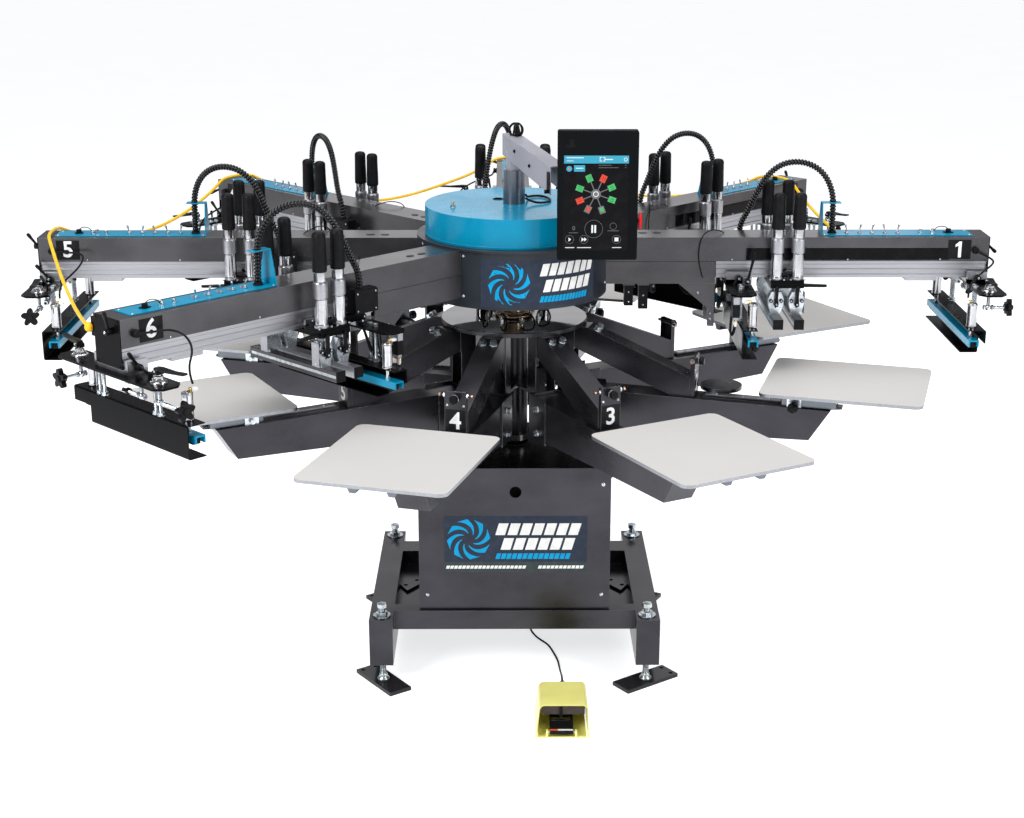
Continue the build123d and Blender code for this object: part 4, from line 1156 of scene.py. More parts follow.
@mesh_of
def beam_fittings(piece, number):
    """A head's number badges, hole plugs, end lever, screws, lead and window strip."""
    profile = [(11, 0), (11, 3), (8, 4), (7.4, 5), (10, 7), (10, 12), (8.6, 14), (0, 14.4)]
    for side in (-1, 1):
        badge = standing((1346, side * BEAM_SIDE, 1301), side * 90)
        number_badge(piece, str(number), badge, 70, 59, 49)
        piece.turned(profile, PLASTIC, aim((1394, side * BEAM_SIDE, 1299), (0, side, 0)), 20)
        for r in (660, 1010, 1290):
            piece.button_screw(2.6, aim((r, side * BEAM_SIDE, 1270), (0, side, 0)))
    oval = [(x * 1.35, y) for x, y in polygon(24, 9.5)]
    for r in (392, 436):
        piece.prism(oval, (0, 1.2), PLASTIC, aim((r, 12, BEAM_TOP)), 0.5)
    turn = END_LEVER_TURNS[number - 1]
    lever(piece, aim((END_PLATE_FACE, 22, 1306), (1, 0, 0), turn), 60, 9, 16, 18)
    for s in (-49, 49):
        for z in (1219, 1330):
            piece.button_screw(3.4, aim((END_PLATE_FACE, s, z), (1, 0, 0)), PLASTIC)
    # a lead that lies over the beam inside the carriage's travel
    lead = [(640, 6, 1340), (620, -8, 1352), (592, -38, 1357), (566, -60, 1345), (556, -64, 1300)]
    lead += [(560, -65, 1250), (572, -61, 1214)]
    piece.wire(lead, 3.2, RUBBER)
    # the window strip in the side of the beam
    piece.block((702, 1318), (-56.9, -55.9), (1269, 1305), GLASS, edge=0.3)
    for r in range(760, 1300, 60):
        piece.block((r, r + 1.2), (-57.1, -56.8), (1269.5, 1304.5), PLASTIC, edge=0)


# ---------------------------------------------------------------- hoses
HOSE_ROUTE = [
    (968, 0, 1341), (968, 0, 1405), (966, 3, 1462), (944, 13, 1513), (908, 26, 1543),
    (862, 41, 1553), (814, 57, 1542), (774, 71, 1505), (746, 83, 1450), (722, 93, 1388),
    (700, 96, 1348), (698, 96, 1308),
]
HOSE_RADIUS = 10
HOSE_RIB = 9.5
# the share of the hose's radius at each of a rib's four rings
RIB_SWELL = (0.60, 0.92, 1.0, 0.92)
# where a hose's bend begins and ends
HOSE_BEND = ((966, 0, 1341), (700, 0, 1341))


def route_points(route):
    """Points along the smooth curve through a route, in millimetres."""
    line = spline("route", route, 0, None)
    line.data.resolution_u = 24
    data = bpy.data.meshes.new_from_object(line)
    points = [vertex.co / MM for vertex in data.vertices]
    bpy.data.objects.remove(line)
    bpy.data.meshes.remove(data)
    return points


def even_points(points, gap):
    """The same line walked in steps of about `gap`."""
    lengths = [0.0]
    for before, after in zip(points, points[1:]):
        lengths.append(lengths[-1] + (after - before).length)
    count = round(lengths[-1] / gap)
    even, index = [], 0
    for step in range(count + 1):
        goal = lengths[-1] * step / count
        while index < len(lengths) - 2 and lengths[index + 1] < goal:
            index += 1
        share = (goal - lengths[index]) / max(lengths[index + 1] - lengths[index], 1e-6)
        even.append(points[index].lerp(points[index + 1], min(share, 1.0)))
    return even


@mesh_of
def ribbed_hose(piece, sides=16):
    """A corrugated hose: four rings to each rib, along the route's smooth curve."""
    rings = even_points(route_points(HOSE_ROUTE), HOSE_RIB / 4)
    loops = []
    across = Vector((0, 1, 0))
    for index, centre in enumerate(rings):
        ahead = rings[min(index + 1, len(rings) - 1)] - rings[max(index - 1, 0)]
        ahead.normalize()
        side = ahead.cross(across).normalized()
        across = side.cross(ahead).normalized()
        reach = HOSE_RADIUS * RIB_SWELL[index % 4]
        loops.append([centre + (side * x + across * y) * reach for x, y in polygon(sides, 1)])
    piece.loft(loops, HOSE)


def bent_tube(name, data, bearing, body, start, end):
    """A hose or line turned to a head's bearing, its shape fixed in place."""
    tube = put(name, data)
    tube.matrix_world = swung(bearing)
    start, end = [tube.matrix_world @ (Vector(point) * MM) for point in (start, end)]
    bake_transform(tube)
    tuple(start)
    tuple(end)
    return tube


def dress_heads():
    """Shows every head's pieces; one piece stands for the fixed node that all six heads share."""
    moving = (
        (print_carriage(), "print_carriage", "carriage", "black_paint"),
        (tool_unit(CYLINDERS_R[0], ALUMINIUM, False), "squeegee_unit", "squeegee", "zinc_steel"),
        (tool_unit(CYLINDERS_R[1], STEEL, True), "flood_unit", "flood_bar", "zinc_steel"),
        (outer_holder(), "outer_clamp", "outer_holder", "black_paint"),
    )
    fixed = (
        (inner_holder(), "inner_clamp", "black_paint", ["inner_holders"]),
        (head_rail(), "head_rail", "rail_aluminium", ["head_rails"]),
        (control_fittings(), "control_fittings", "zinc_steel", []),
    )
    for number, bearing in enumerate(HEADS, 1):
        for data, name, body, slot in moving:
            # the body and the node it replaces share a name
            own = f"{body}_{number}"
            show(data, f"{name}_{number}", own, [own], bearing)
        for data, name, slot, shared in fixed:
            show(data, f"{name}_{number}", "frame", shared if number == 1 else (), bearing)
        name = f"beam_fittings_{number}"
        show(beam_fittings(number), name, "frame", (), bearing)
        name = f"air_hose_{number}"
        hose = bent_tube(name, ribbed_hose(), bearing, f"carriage_{number}", *HOSE_BEND)
        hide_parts(f"hose_{number}")


dress_heads()


# ---------------------------------------------------------------- safety cord and air lines
@mesh_of
def safety_cord_ends(piece):
    """The bulbs on the cord's two ends."""
    profile = [(4.5, -22), (6.4, -20), (6.4, 3), (10, 6), (12.5, 13), (10, 20), (5, 23), (0, 24)]
    for place, ahead in (SAFETY_CORD_ROUTE[:2], SAFETY_CORD_ROUTE[:-3:-1]):
        piece.turned(profile, CORD_YELLOW, aim(place, Vector(place) - Vector(ahead)))


def run_safety_cord():
    """The yellow cord from head to head, with a bulb at each end."""
    cord = spline("safety_cord_line", SAFETY_CORD_ROUTE, SAFETY_CORD_D, CORD_YELLOW)
    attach(cord, "frame")
    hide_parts("safety_cord")
    show(safety_cord_ends(), "safety_cord_ends", "frame")


# from a knob on the beam's side to the outer holder; head 1's takes the other side
AIR_LINE = [
    (1394, 70, 1299), (1345, 72, 1297), (1300, 80, 1296), (1285, 120, 1285), (1300, 170, 1260),
    (1345, 205, 1225), (1340, 217, 1190),
]
AIR_LINE_1 = [
    (1394, -72, 1299), (1420, -78, 1287), (1447, -80, 1272), (1442, -86, 1260), (1412, -110, 1246),
    (1372, -150, 1230), (1345, -200, 1217), (1340, -217, 1190),
]


@mesh_of
def index_sensors(piece):
    """Two sensor housings that hang from head 1's lower beam."""
    top = 1188
    for near, far, low in ((336, 363, 1124), (380, 408, 1114)):
        piece.block((near, far), (-44, -16), (low, top), PLASTIC, edge=1.5)
        piece.block((near - 4, far + 4), (-48, -12), (top, 1194.6), STEEL, edge=1)
        for height in (low + 12, low + 42):
            piece.button_screw(3, aim(((near + far) / 2, -44, height), (0, -1, 0)))


@mesh_of
def air_line(piece, route):
    """The line that feeds a head's screen clamp."""
    piece.wire(route, 6, RUBBER)


def run_air_lines():
    for number, bearing in enumerate(HEADS, 1):
        route = AIR_LINE_1 if number == 1 else AIR_LINE
        body = f"outer_holder_{number}"
        bent_tube(f"air_line_{number}", air_line(route), bearing, body, route[0], route[-1])


run_safety_cord()
run_air_lines()
show(index_sensors(), "index_sensors", "frame")


# ---------------------------------------------------------------- touch panel
SCREEN_CENTRE = (229.1, -338, 1496)
SCREEN_HALF = (93, 137.6)
# heights over the screen's face: the glass, a print on it, a second print and a third
GLASS_TOP = 1.2
PRINT = (GLASS_TOP, 1.35)
OVERPRINT = (1.35, 1.45)
PAD_MARK = (1.35, 1.42)
PANEL_FRONT_Y, PANEL_BACK_Y = -340, -305
# the keys' brackets, and the middle of the plan of pallets
BRACKET = [(103, -8), (109, -8), (109, -9.6), (104.6, -9.6), (104.6, -18.4), (109, -18.4)]
BRACKET += [(109, -20), (103, -20)]
BRACKET_PAIR = 221
PLAN_PLACE = (93.5, -113, 0)
# left, right, top and bottom of each plain print, from the screen's upper left corner
SCREEN_BARS = [
    (3, 185, 4, 26, "teal"), (10, 58, 9, 11, "white"), (10, 30, 18, 19.4, "white"),
    (118, 140, 13.5, 16, "white"), (31, 62, 31, 49, "teal"), (36, 57, 38.5, 40.5, "white"),
    (100, 136, 30.4, 31.6, "grey"), (100, 156, 37.4, 38.6, "grey"), (174, 178, 30.4, 31.6, "grey"),
    (174, 178, 37.4, 38.6, "grey"), (18, 44, 223, 224.4, "grey"), (128, 160, 217.4, 218.8, "grey"),
    (82, 87, 201.5, 224, "white"), (90.5, 95.5, 201.5, 224, "white"),
    (148.5, 159.5, 237.5, 248.5, "white"), (8, 34, 265.5, 267.5, "white"),
    (42, 82, 265.5, 267.5, "white"), (142, 168, 265.5, 267.5, "white"),
]
# across, down, radius and wire of each ring; a thick one is white
SCREEN_RINGS = [(88.7, 212.7, 25.5, 0.5), (144, 205, 9.4, 0.5), (20.4, 243, 12, 0.5)]
SCREEN_RINGS += [(61, 243, 12, 0.5), (154, 243, 12, 0.5), (176, 15, 4.4, 0.9)]
# the bearing and colour of each pallet in the plan
SCREEN_PADS = [(112.8, "green"), (64.8, "red"), (23, "green"), (-19.5, "green")]
SCREEN_PADS += [(-68.9, "green"), (-116.6, "red"), (-157.9, "red"), (160.6, "green")]
SCREEN_INKS = {
    "teal": TEAL_LIGHT,
    "white": WHITE_LIGHT,
    "grey": GREY_LIGHT,
    "green": GREEN_LIGHT,
    "red": RED_LIGHT,
}


def screen_plan(piece, hub):
    """The plan of the eight pallets round the hub."""
    piece.rod(14, PRINT, GREY_LIGHT, hub, 28, 0)
    piece.rod(8, OVERPRINT, WHITE_LIGHT, hub, 20, 0)
    piece.rod(6, (1.45, 1.5), GREY_LIGHT, hub, 20, 0)
    for angle, ink in SCREEN_PADS:
        arm = hub @ swung(angle)
        piece.block((13, 39), (-1.3, 1.3), PRINT, GREY_LIGHT, arm, 0)
        # the two nearest the keys are pale, with a small mark
        pale = -120 < angle < -60
        piece.block((38, 59), (-8.5, 8.5), PRINT, GREY_LIGHT if pale else SCREEN_INKS[ink], arm, 0)
        if pale:
            piece.block((41, 53), (-4.5, 5.5), PAD_MARK, SCREEN_INKS[ink], arm, 0)
        else:
            for low, high in ((-5, -4), (1, 2)):
                piece.block((44, 54), (low, high), PAD_MARK, GLASS, arm, 0)


def panel_case(piece):
    """The memory slot in the panel's front, and its back plate with vents and screws."""
    front = standing((0, PANEL_FRONT_Y, 0), -90)
    piece.block((144, 168), (1653, 1659), (-1, 0.6), PLASTIC, front, 0.3)
    piece.block((154, 167), (1659, 1676), (-1, 0.6), PLASTIC, front, 0.3)
    back = standing((0, PANEL_BACK_Y, 0), 90)
    piece.block((-338, -172), (1350, 1682), (0, 1.4), BLACK, back, 0.5)
    for height in range(1540, 1640, 14):
        piece.block((-300, -210), (height, height + 5), (1.3, 1.7), PLASTIC, back, 0.2)
    for across in (-330, -180):
        for height in (1358, 1516, 1674):
            piece.button_screw(3.4, back @ shifted(across, height, 1.4))
    for height in (1466, 1486):
        piece.cap_screw(4, 3, aim((140, -272, height), (0, 1, 0)))


@mesh_of
def touch_screen(piece):
    """The glass and what it shows: a plan of the pallets over plain round keys."""
    glass = standing(SCREEN_CENTRE, -90)
    half, tall = SCREEN_HALF
    piece.block((-half, half), (-tall, tall), (0, GLASS_TOP), GLASS, glass, 0.3)
    corner = glass @ shifted(-93.4, 138, 0)
    for left, right, top, bottom, ink in SCREEN_BARS:
        depth = OVERPRINT if ink == "white" else PRINT
        piece.block((left, right), (-bottom, -top), depth, SCREEN_INKS[ink], corner, 0)
    for across, down, radius, thick in SCREEN_RINGS:
        ink = WHITE_LIGHT if thick > 0.5 else GREY_LIGHT
        piece.hoop(radius, thick, ink, corner @ shifted(across, -down, GLASS_TOP))
    for bracket in (BRACKET, [(BRACKET_PAIR - x, y) for x, y in BRACKET[::-1]]):
        piece.prism(bracket, OVERPRINT, WHITE_LIGHT, corner, 0)
    spot = corner @ shifted(17.5, -41, 0)
    piece.rod(8, PRINT, TEAL_LIGHT, spot, 28, 0)
    piece.rod(2.6, OVERPRINT, ORANGE, spot, 16, 0)
    for left in (17.5, 54.5, 62):
        triangle = [(left, -237), (left + 7.5, -243), (left, -249)]
        piece.prism(triangle, OVERPRINT, WHITE_LIGHT, corner, 0)
    piece.figure("0", 12, GREY_LIGHT, corner @ shifted(32, -211, 1.3))
    screen_plan(piece, corner @ shifted(*PLAN_PLACE))
    panel_case(piece)


show(touch_screen(), "touch_screen", "touch_panel")


# ---------------------------------------------------------------- decals
DRUM_SKIN = 282.45
DRUM_LABEL_Z = 1246
CABINET_FACE_Y = -284.5


def flat(place):
    """Lays a print's x, y and height on a flat face."""
    return lambda x, y, rise: place @ Vector((x, y, rise))


def round_drum(bearing, height):
    """Lays a print's x, y and height round the drum, about one spot of it."""

    def lay(x, y, rise):
        angle = math.radians(bearing) + x / DRUM_SKIN
        reach = DRUM_SKIN + rise
        return Vector((reach * math.cos(angle), reach * math.sin(angle), height + y))

    return lay


def tile(piece, low_edge, high_edge, depth, finish, lay):
    """A thin print between two lines of points."""
    points = [lay(x, y, rise) for rise in depth for line in (low_edge, high_edge) for x, y in line]
    count = len(low_edge)
    faces = []
    sides = ((0, count), (2 * count, count), (0, 2 * count), (count, 2 * count))
    for step in range(count - 1):
        for first, across in sides:
            near = first + step
            faces.append([near, near + 1, near + across + 1, near + across])
    for end in (0, count - 1):
        faces.append([end, count + end, 3 * count + end, 2 * count + end])
    piece.add(points, faces, finish, UPRIGHT)


def slanted_rows(piece, rows, depth, lay):
    """Rows of slanted blocks: each row's left, right, low and high edge, its count and finish."""
    shares = (0, 0.27, 0.53, 0.8)
    for left, right, low, high, count, finish in rows:
        step = (right - left) / count
        lean = (high - low) * 0.3
        for index in range(count):
            start = left + index * step
            below = [(start + step * share, low) for share in shares]
            above = [(x + lean, high) for x, _ in below]
            tile(piece, below, above, depth, finish, lay)


def blade_wheel(piece, radius, depth, finish, lay):
    """Eight curved blades round a ring, like the press seen from above."""
    for index in range(8):
        near, far = [], []
        for step in range(8):
            share = step / 7
            reach = radius * (0.30 + 0.70 * share)
            for line, angle in ((near, share * 0.85), (far, share * 1.23 + 0.10)):
                turn = math.tau * index / 8 + angle
                line.append((reach * math.cos(turn), reach * math.sin(turn)))
        tile(piece, near, far, depth, finish, lay)


@mesh_of
def cabinet_label(piece):
    """The cabinet's label of slanted rows and a wheel of blades, with its screws and tube."""
    face = standing((3.5, CABINET_FACE_Y, 436.75), -90)
    for heights, finish in (((-58, 91.7), SLATE_INK), ((-91.7, -58), GREY_INK)):
        piece.block((-217.5, 217.5), heights, (0, 0.3), finish, face, 0)
    ink = (0.3, 0.4)
    blade_wheel(piece, 66, ink, CYAN_INK, flat(face @ shifted(-143, 16, 0)))
    rows = [(-62, 196, 30, 68, 7, WHITE), (-46, 178, -18, 20, 6, WHITE)]
    rows += [(-62, 166, -48, -30, 14, CYAN_INK)]
    rows += [(-213, 32, -80, -70, 20, WHITE), (68, 208, -80, -70, 11, WHITE)]
    slanted_rows(piece, rows, ink, flat(face))
    for across, height in ((-267, 270), (267, 270), (-268, 629), (268, 629)):
        piece.button_screw(6.4, standing((across, CABINET_FACE_Y, height), -90))
    tube = [(288, 590), (306, 592), (316, 625), (308, 660), (280, 690)]
    tube = [(x, -120, z) for x, z in tube]
    piece.wire(tube, 8, BLUE_TUBE)
    piece.turned([(9, 0), (9, 4), (7, 5), (7, 9), (4, 9)], BRASS, aim(tube[0], (1, 0, 0)), 16)
    hole = standing((3, CABINET_FACE_Y, 605), -90)
    # a near-black disc with no shine sunk in the hole: painted shade for its depth
    piece.rod(16.9, (-2.4, -1.6), HOLE_SHADE, hole, 32, 0)
    piece.turned([(17.0, -2), (18.2, 0), (18.2, 0.8), (17.0, 0.8)], PLASTIC, hole, 32, ring=True)


@mesh_of
def drum_label(piece):
    """The drum's label and the screws of its skin."""
    piece.bent_sheet(DRUM_SKIN, (249.5, 326), (1176, 1316), 0.25, SLATE_INK)
    ink = (0.25, 0.4)
    blade_wheel(piece, 62, ink, CYAN_INK, round_drum(266.7, DRUM_LABEL_Z))
    rows = [(-74, 118, 22, 58, 7, WHITE), (-64, 104, -26, 10, 6, WHITE)]
    rows += [(-74, 92, -56, -38, 14, CYAN_INK)]
    slanted_rows(piece, rows, ink, round_drum(300, DRUM_LABEL_Z))
    for bearing in HEADS:
        for side in (-13, 13):
            out = level(math.radians(bearing + side))
            for height in (1202, 1322):
                piece.button_screw(4.6, aim((282.4 * out.x, 282.4 * out.y, height), out))


show(cabinet_label(), "cabinet_label", "frame")
show(drum_label(), "drum_label", "frame")


# ---------------------------------------------------------------- carousel hardware
BRACE_LEAN = (0.380, 0, 0.925)
HUB_TOP = 1082.6
SEAL_FACE = 1163
ARM_END_R, ARM_END_S, ARM_END_Z = 569, 32, 990
STRIP_START, STRIP_SLOPE = 606, 0.0082


@mesh_of
def arm_hardware(piece, number):
    """One arm's bolts and screws, number badge, pallet clamp grip, stop rod and knob."""
    for side in (-1, 1):
        piece.bolt(18, aim((268, side * 17, 1059.8), BRACE_LEAN, 12))
        for height in (850, 775):
            piece.bolt(16, aim((237, side * 49.3, height), (0, side, 0), 20))
        piece.cap_screw(6, 5, aim((202, side * 22, 1045), (1, 0, 0)))
        end = aim((ARM_END_R, side * ARM_END_S, ARM_END_Z), (0, side, 0))
        piece.nut(12, 5, end)
        piece.rod(4.6, (13, 19), COPPER, end, 16)
        piece.button_screw(4, aim((576, side * 24, 962), (1, 0, 0)))
        for r in (846, 992):
            piece.cap_screw(5, 5, aim((r, side * ARM_END_S, 925), (0, side, 0)))
        piece.block((856, 898), (side * 32.2, side * 39), (868, 900), ZINC, edge=1.5)
    piece.bolt(14, aim((877, 39, 884), (0, 1, 0), 8))
    strip = [(STRIP_START, 883.3), (834, 881.4), (834, 883), (STRIP_START, 884.9)]
    piece.prism(strip, (-10, 10), ALUMINIUM, ACROSS, 0.3)
    for r in (640, 720, 800):
        piece.cap_screw(3.6, 2.6, aim((r, 0, 884.6 - (r - STRIP_START) * STRIP_SLOPE)))
    grip = aim((877, -49, 880), (0, -1, 0))
    piece.turned([(9, 0), (14, 3), (16, 8), (16, 20), (13, 24), (0, 25)], PLASTIC, grip, 30, 6, 1.8)
    rod = aim((1001, 0, 903), (1, 0, 0))
    piece.rod(8.5, (0, 30), ZINC, rod, 24)
    piece.rod(12, (30, 38), BLACK, rod, 24)
    piece.block((-13, 13), (-13, 15), (38, 54), GUNMETAL, rod, 2)
    piece.rod(6, (54, 68), ZINC, rod, 20)
    piece.cap_screw(4.4, 5, aim((1046, 13, 906), (0, 1, 0)))
    number_badge(piece, str(number), standing((576, 0, 915), 0), 60, 70, 50)
    knob = aim((581, 0, 983), (1, 0, 0))
    piece.washer(12, 1.6, knob)
    profile = [(9, 1.6), (11, 4), (13, 6), (13, 15), (11.5, 17.5), (0, 18)]
    piece.turned(profile, PLASTIC, knob, 30, 6, 1.6)


@mesh_of
def hub_top_plate(piece):
    """The polished ring on the hub, the dark skin of its tube and the bronze collar on that."""
    plate = [(34, 1081.3), (34, HUB_TOP), (223, HUB_TOP), (224, 1082), (224, 1081.3)]
    tube = [(42, 709), (42.6, 709.6), (42.6, 860), (42.6, 1078), (42, 1080)]
    collar = [(42, 861), (53, 863), (54, 866), (54, 874), (52, 877), (42, 878)]
    rings = ((plate, MIRROR, 72), (tube, DARK_TUBE, 48), (collar, BRONZE, 48))
    for profile, finish, sides in rings:
        piece.turned(profile, finish, UPRIGHT, sides, ring=True)


@mesh_of
def bush_ring(piece):
    """The bronze ring that clamps the bush, with its screws."""
    top = 1093
    profile = [(33, 1083.2), (56, 1083.2), (58, 1085), (58, 1091), (56, top), (42, 1095)]
    piece.turned(profile + [(40, 1099), (33, 1100)], BRONZE, UPRIGHT, 48, ring=True)
    for x, y in polygon(6, 50):
        piece.cap_screw(4.4, 4, aim((x, y, top)), CHROME)


@mesh_of
def air_swivel(piece):
    """The air fittings round the bush on the hub's plate, each with its looped line."""
    # how far each point of a loop lies outward, sideways and up from its fitting
    loop = ((0, 0, 16), (2, 3, 25), (10, 14, 27), (20, 26, 23), (24, 32, 12), (25, 34, 0))
    for step in range(8):
        out = level(math.radians(STATION_PITCH * step + 16))
        along = Vector((-out.y, out.x, 0))
        foot = out * 84 + Vector((0, 0, HUB_TOP))
        piece.nut(15, 7, aim(foot, turn=30 * step))
        piece.rod(5.4, (7, 14), CHROME, aim(foot), 16)
        piece.rod(4.2, (14, 18), BRASS, aim(foot), 14)
        route = []
        for reach, slide, rise in loop:
            route.append(foot + out * reach + along * slide + Vector((0, 0, rise)))
        piece.wire(route, 5, RUBBER)


@mesh_of
def drum_underside(piece):
    """The plate that closes the drum's middle, its seal ring and screws."""
    plate = [(38, SEAL_FACE), (150, SEAL_FACE), (151, 1164), (151, 1168), (38, 1168)]
    seal = [(44, 1152), (56, 1152), (58, 1154), (58, SEAL_FACE), (44, SEAL_FACE)]
    piece.turned(plate, STEEL, UPRIGHT, 64, ring=True)
    piece.turned(seal, BRONZE, UPRIGHT, 48, ring=True)
    for x, y in polygon(8, 136):
        piece.cap_screw(5, 5, aim((x, y, SEAL_FACE), (0, 0, -1)))


for number, bearing in zip(PALLET_NUMBERS, PALLETS):
    show(arm_hardware(number), f"arm_hardware_{number}", "carousel", (), bearing)
show(hub_top_plate(), "hub_top_plate", "carousel")
show(air_swivel(), "air_swivel", "carousel")
show(bush_ring(), "bush_ring", "lift")
show(drum_underside(), "drum_underside", "frame")


# ---------------------------------------------------------------- base hardware
@mesh_of
def levelling_stud(piece):
    """A levelling screw: head, nut and washer on the base, jam nut and swivel cup below it."""
    piece.washer(27, 4, aim((0, 0, 222)))
    piece.nut(30, 10, aim((0, 0, 226)), 14)
    piece.thread(9.6, (236, 251), ZINC, UPRIGHT, 2.5, 20)
    piece.nut(26, 12, aim((0, 0, 250)), 40)
    piece.turned([(9, 262), (9, 262.6), (8, 263), (0, 263)], ZINC, UPRIGHT, 24)
    piece.thread(9.6, (28, 73), ZINC, UPRIGHT, 2.5, 20)
    piece.nut(28, 11, aim((0, 0, 61)), 5)
    cup = [(19, 12), (19, 15), (16, 18), (13, 21), (12.5, 28), (11, 30), (9, 30)]
    piece.turned(cup, ZINC, UPRIGHT, 32)


STUD_X, STUD_Y = 405, 331


def base_hardware():
    """A levelling stud at each corner; the first stands for the node that holds all four."""
    stud = levelling_stud()
    corners = [(x, y) for y in (-STUD_Y, STUD_Y) for x in (-STUD_X, STUD_X)]
    for number, (x, y) in enumerate(corners, 1):
        stands_for = ["levelling_studs"] if number == 1 else ()
        foot = show(stud, f"levelling_stud_{number}", "frame", stands_for)
        foot.location = (x * MM, y * MM, 0)


base_hardware()


# ---------------------------------------------------------------- foot pedal
GUARD_X, GUARD_HALF, GUARD_TOP = 136, 78, 100


def guard_ring(inset, corner, depth, shrink):
    """Points over the guard from one foot to the other, at a share of its depth."""
    half, top = GUARD_HALF - inset, GUARD_TOP - inset
    outline = [(-half, 0), (-half, (top - corner) / 2), (-half, top - corner)]
    for step in range(1, 6):
        turn = math.radians(18 * step)
        across, up = corner * math.cos(turn), corner * math.sin(turn)
        outline.append((corner - half - across, top - corner + up))
    outline += [(-x, z) for x, z in outline[::-1]]
    share, back = depth
    ring = []
    for x, z in outline:
        x *= (1 - 0.0010 * z) * (1 - shrink / half)
        z *= 1 - shrink / top
        front, rear = 0.20 * z - 703, -500 - 0.25 * z - inset - back
        ring.append((GUARD_X + 0.04 * z + x, front + (rear - front) * share, z))
    return ring


@mesh_of
def pedal_hood(piece):
    """The cast guard: a rounded hood, open at the front, with a lip, a floor and a dark grey-brown
    band inside its rear wall.
    """
    rings = []
    for inset, corner, round_back in ((0, 17, 14), (4, 13, 10)):
        shares = (0, 0.25, 0.5, 0.75, 1)
        layer = [guard_ring(inset, corner, (share, round_back), 0) for share in shares]
        for step in range(1, 5):
            turn = math.radians(22.5 * step)
            back = round_back * (1 - math.sin(turn))
            layer.append(guard_ring(inset, corner, (1, back), round_back * (1 - math.cos(turn))))
        rings.append(layer)
    outer, inner = rings
    lip = [((Vector(a) + Vector(b)) / 2 + Vector((0, -2.5, 0))) for a, b in zip(outer[0], inner[0])]
    loops = outer[::-1] + [lip] + inner
    size = len(lip)
    points = [point for loop in loops for point in loop]
    faces = []
    for row in range(len(loops) - 1):
        for step in range(size - 1):
            low, high = row * size + step, (row + 1) * size + step
            faces.append([low, low + 1, high + 1, high])
    last = (len(loops) - 1) * size
    faces += [list(range(size)), list(range(last, last + size))]
    for end in (0, size - 1):
        faces.append([row * size + end for row in range(len(loops))])
    faces.append([0, size - 1, last + size - 1, last])
    piece.add(points, faces, YELLOW, UPRIGHT)
    piece.block((66, 206), (-696, -508), (0.5, 4), YELLOW, edge=0.8)
    # a dark grey-brown band across the inside of the rear wall
    piece.block((76, 203), (-646, -642), (50, 92), GUARD_REAR_BAND, edge=1)
    piece.block((129, 138), (-652, -646), (46, 92), PLASTIC, edge=1)
    for x in (92, 176):
        piece.block((x - 3, x + 3), (-700, -688), (4, 24), YELLOW, edge=1)
    piece.rod(3, (-45, 45), ZINC, aim((134, -694, 20), (1, 0, 0)), 16)
    for x, y in ((92, -668), (180, -668), (92, -560), (180, -560)):
        piece.button_screw(5, aim((x, y, 4)))
    gland = aim((141.5, -521.5, 84), (0, 1, 0))
    piece.turned([(10, 0), (10, 6), (7, 7), (7, 14), (5.6, 17), (3.3, 17)], PLASTIC, gland, 20)


@mesh_of
def treadle(piece):
    """The pedal's tread: a sloping bar with ribs, a bright strip and a label."""
    side = [(-701, 15), (-688, 15), (-560, 51), (-560, 59), (-690, 26), (-701, 26)]
    piece.prism(side, (100, 168), PLASTIC, OUTWARD, 1.2)
    slope = Matrix(((1, 0, 0, 134), (0, 0.969, -0.246, -690), (0, 0.246, 0.969, 26), (0, 0, 0, 1)))
    for start in range(6, 34, 5):
        piece.block((-30, 30), (start, start + 2.6), (-0.2, 0.9), RUBBER, slope, 0.3)
    piece.block((-29, 27), (36, 47), (-0.2, 1.6), CHROME, slope, 0.5)
    for x, finish in (((100.4, 123), ORANGE), ((123.4, 167.6), WHITE)):
        piece.block(x, (-700, -692), (25.8, 26.6), finish, edge=0.2)
    for start in range(54, 126, 9):
        piece.block((-28, 28), (start, start + 4), (-0.2, 0.8), RUBBER, slope, 0.3)


show(pedal_hood(), "pedal_hood", "frame", ["pedal_guard"])
show(treadle(), "treadle", "pedal_treadle", ["pedal_treadle"])


# ---------------------------------------------------------------- boom and lid
BOOM_BEARING = -66
LID_TOP = 1433.5
LEAD_Z = 1438
# each turn of the coil: its lean in degrees, its place across, its height and its radius
COIL = [(0, 6, 1653, 20), (48, 12, 1656, 17), (-42, 0, 1655, 18)]
COIL += [(74, 10, 1650, 19), (-70, 4, 1648, 14)]


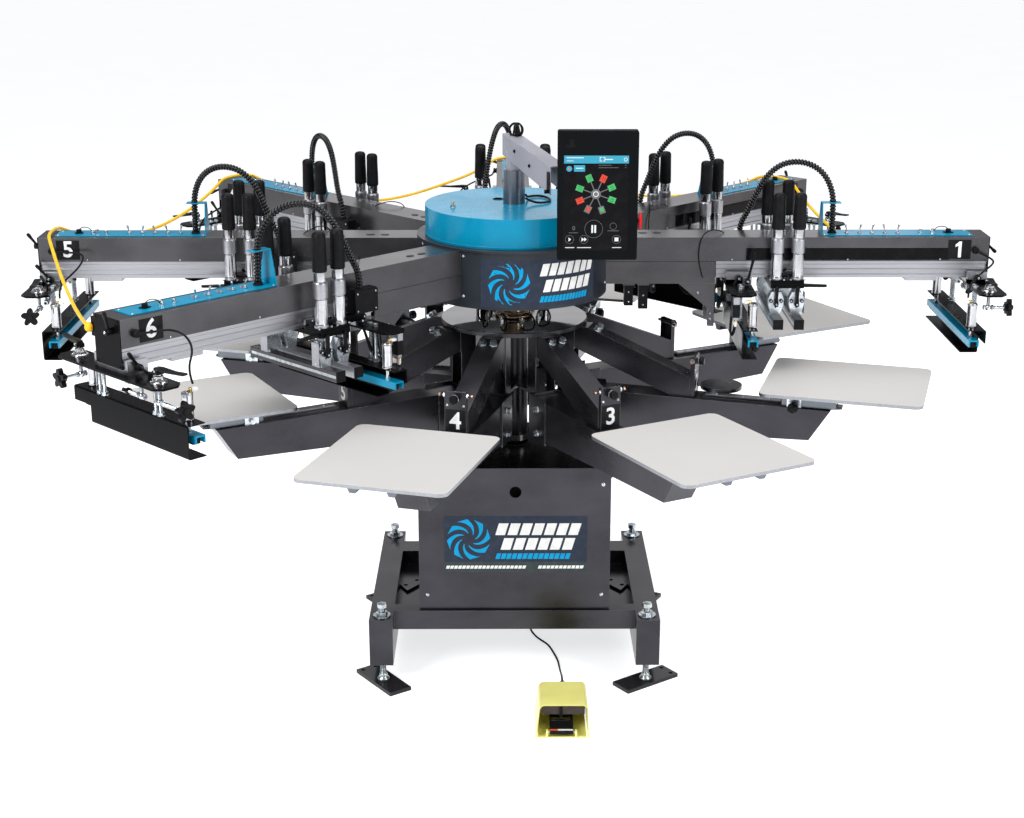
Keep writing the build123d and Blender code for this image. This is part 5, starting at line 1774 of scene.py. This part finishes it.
@mesh_of
def boom_fittings(piece):
    """The coil of slack cable on the boom, its clip, the arm's screws and the mast's rings."""
    arm = swung(BOOM_BEARING)
    for lean, across, lift, radius in COIL:
        turn = math.radians(lean)
        axis = (math.sin(turn), -math.cos(turn), 0.2)
        piece.hoop(radius, 3, RUBBER, aim((across, 2, lift), axis), 32)
    piece.block((288, 304), (-28.5, -25), (1514, 1574), PLASTIC, arm, 1)
    piece.block((296, 304), (-40, -28), (1514, 1524), PLASTIC, arm, 1.5)
    for r, z in ((165, 1572), (60, 1600)):
        piece.cap_screw(5, 4, arm @ aim((r, -25, z), (0, -1, 0)), PLASTIC)
    for z in (1500, 1586):
        band = [(24, z), (25.4, z + 1), (25.4, z + 7), (24, z + 8)]
        piece.turned(band, ZINC, UPRIGHT, 32, ring=True)


@mesh_of
def lid_fittings(piece):
    """The lid's plated stud, the lead that lies on it, a grommet, a screw and the rim's band."""
    stud = aim((-183, -67, LID_TOP))
    piece.washer(9, 1.6, stud)
    piece.nut(13, 6, stud @ shifted(0, 0, 1.6), 10)
    piece.thread(4, (7.6, 17), BRASS, stud, 1.6)
    lead = [(36, 34, 1452), (38, 60, 1440), (60, 96, LEAD_Z), (88, 92, LEAD_Z), (108, 50, LEAD_Z)]
    lead += [(112, 8, LEAD_Z), (92, -24, LEAD_Z), (56, -28, 1440), (34, -22, 1452)]
    piece.wire(lead, 7, RUBBER)
    grommet = [(14.8, 0), (17, 0), (17.4, 1), (16.6, 2), (14.4, 2), (14.4, -3)]
    piece.turned(grommet, PLASTIC, aim((-48, 62, LID_TOP)), 28, ring=True)
    piece.cap_screw(4.4, 4, aim((27, -262, 1350)))
    piece.turned([(270, 1347), (271, 1348), (271, 1352), (270, 1353)], CYAN, UPRIGHT, 96, ring=True)


show(boom_fittings(), "boom_fittings", "boom")
show(lid_fittings(), "lid_fittings", "frame")


# ---------------------------------------------------------------- floor
FLOOR_HALF = 30.0


def lay_floor():
    """A plain pale floor, a little lit from within."""
    paint = Finish("studio_floor", {"Specular IOR Level": 0.1, "Emission Strength": 0.80})
    clouds = paint.grain(1.5, 2.0)
    pale = paint.mix(clouds, (0.86, 0.87, 0.88), (0.90, 0.91, 0.92))
    paint.shade("Base Color", pale)
    paint.shade("Emission Color", pale)
    paint.shade("Roughness", 0.7 + clouds * 0.1)
    mesh = bpy.data.meshes.new("studio_floor")
    sides = (-FLOOR_HALF, FLOOR_HALF)
    mesh.from_pydata([(*corner, 0) for corner in rectangle(sides, sides)], [], [(0, 1, 2, 3)])
    mesh.materials.append(paint.material)
    put("studio_floor", mesh)


lay_floor()

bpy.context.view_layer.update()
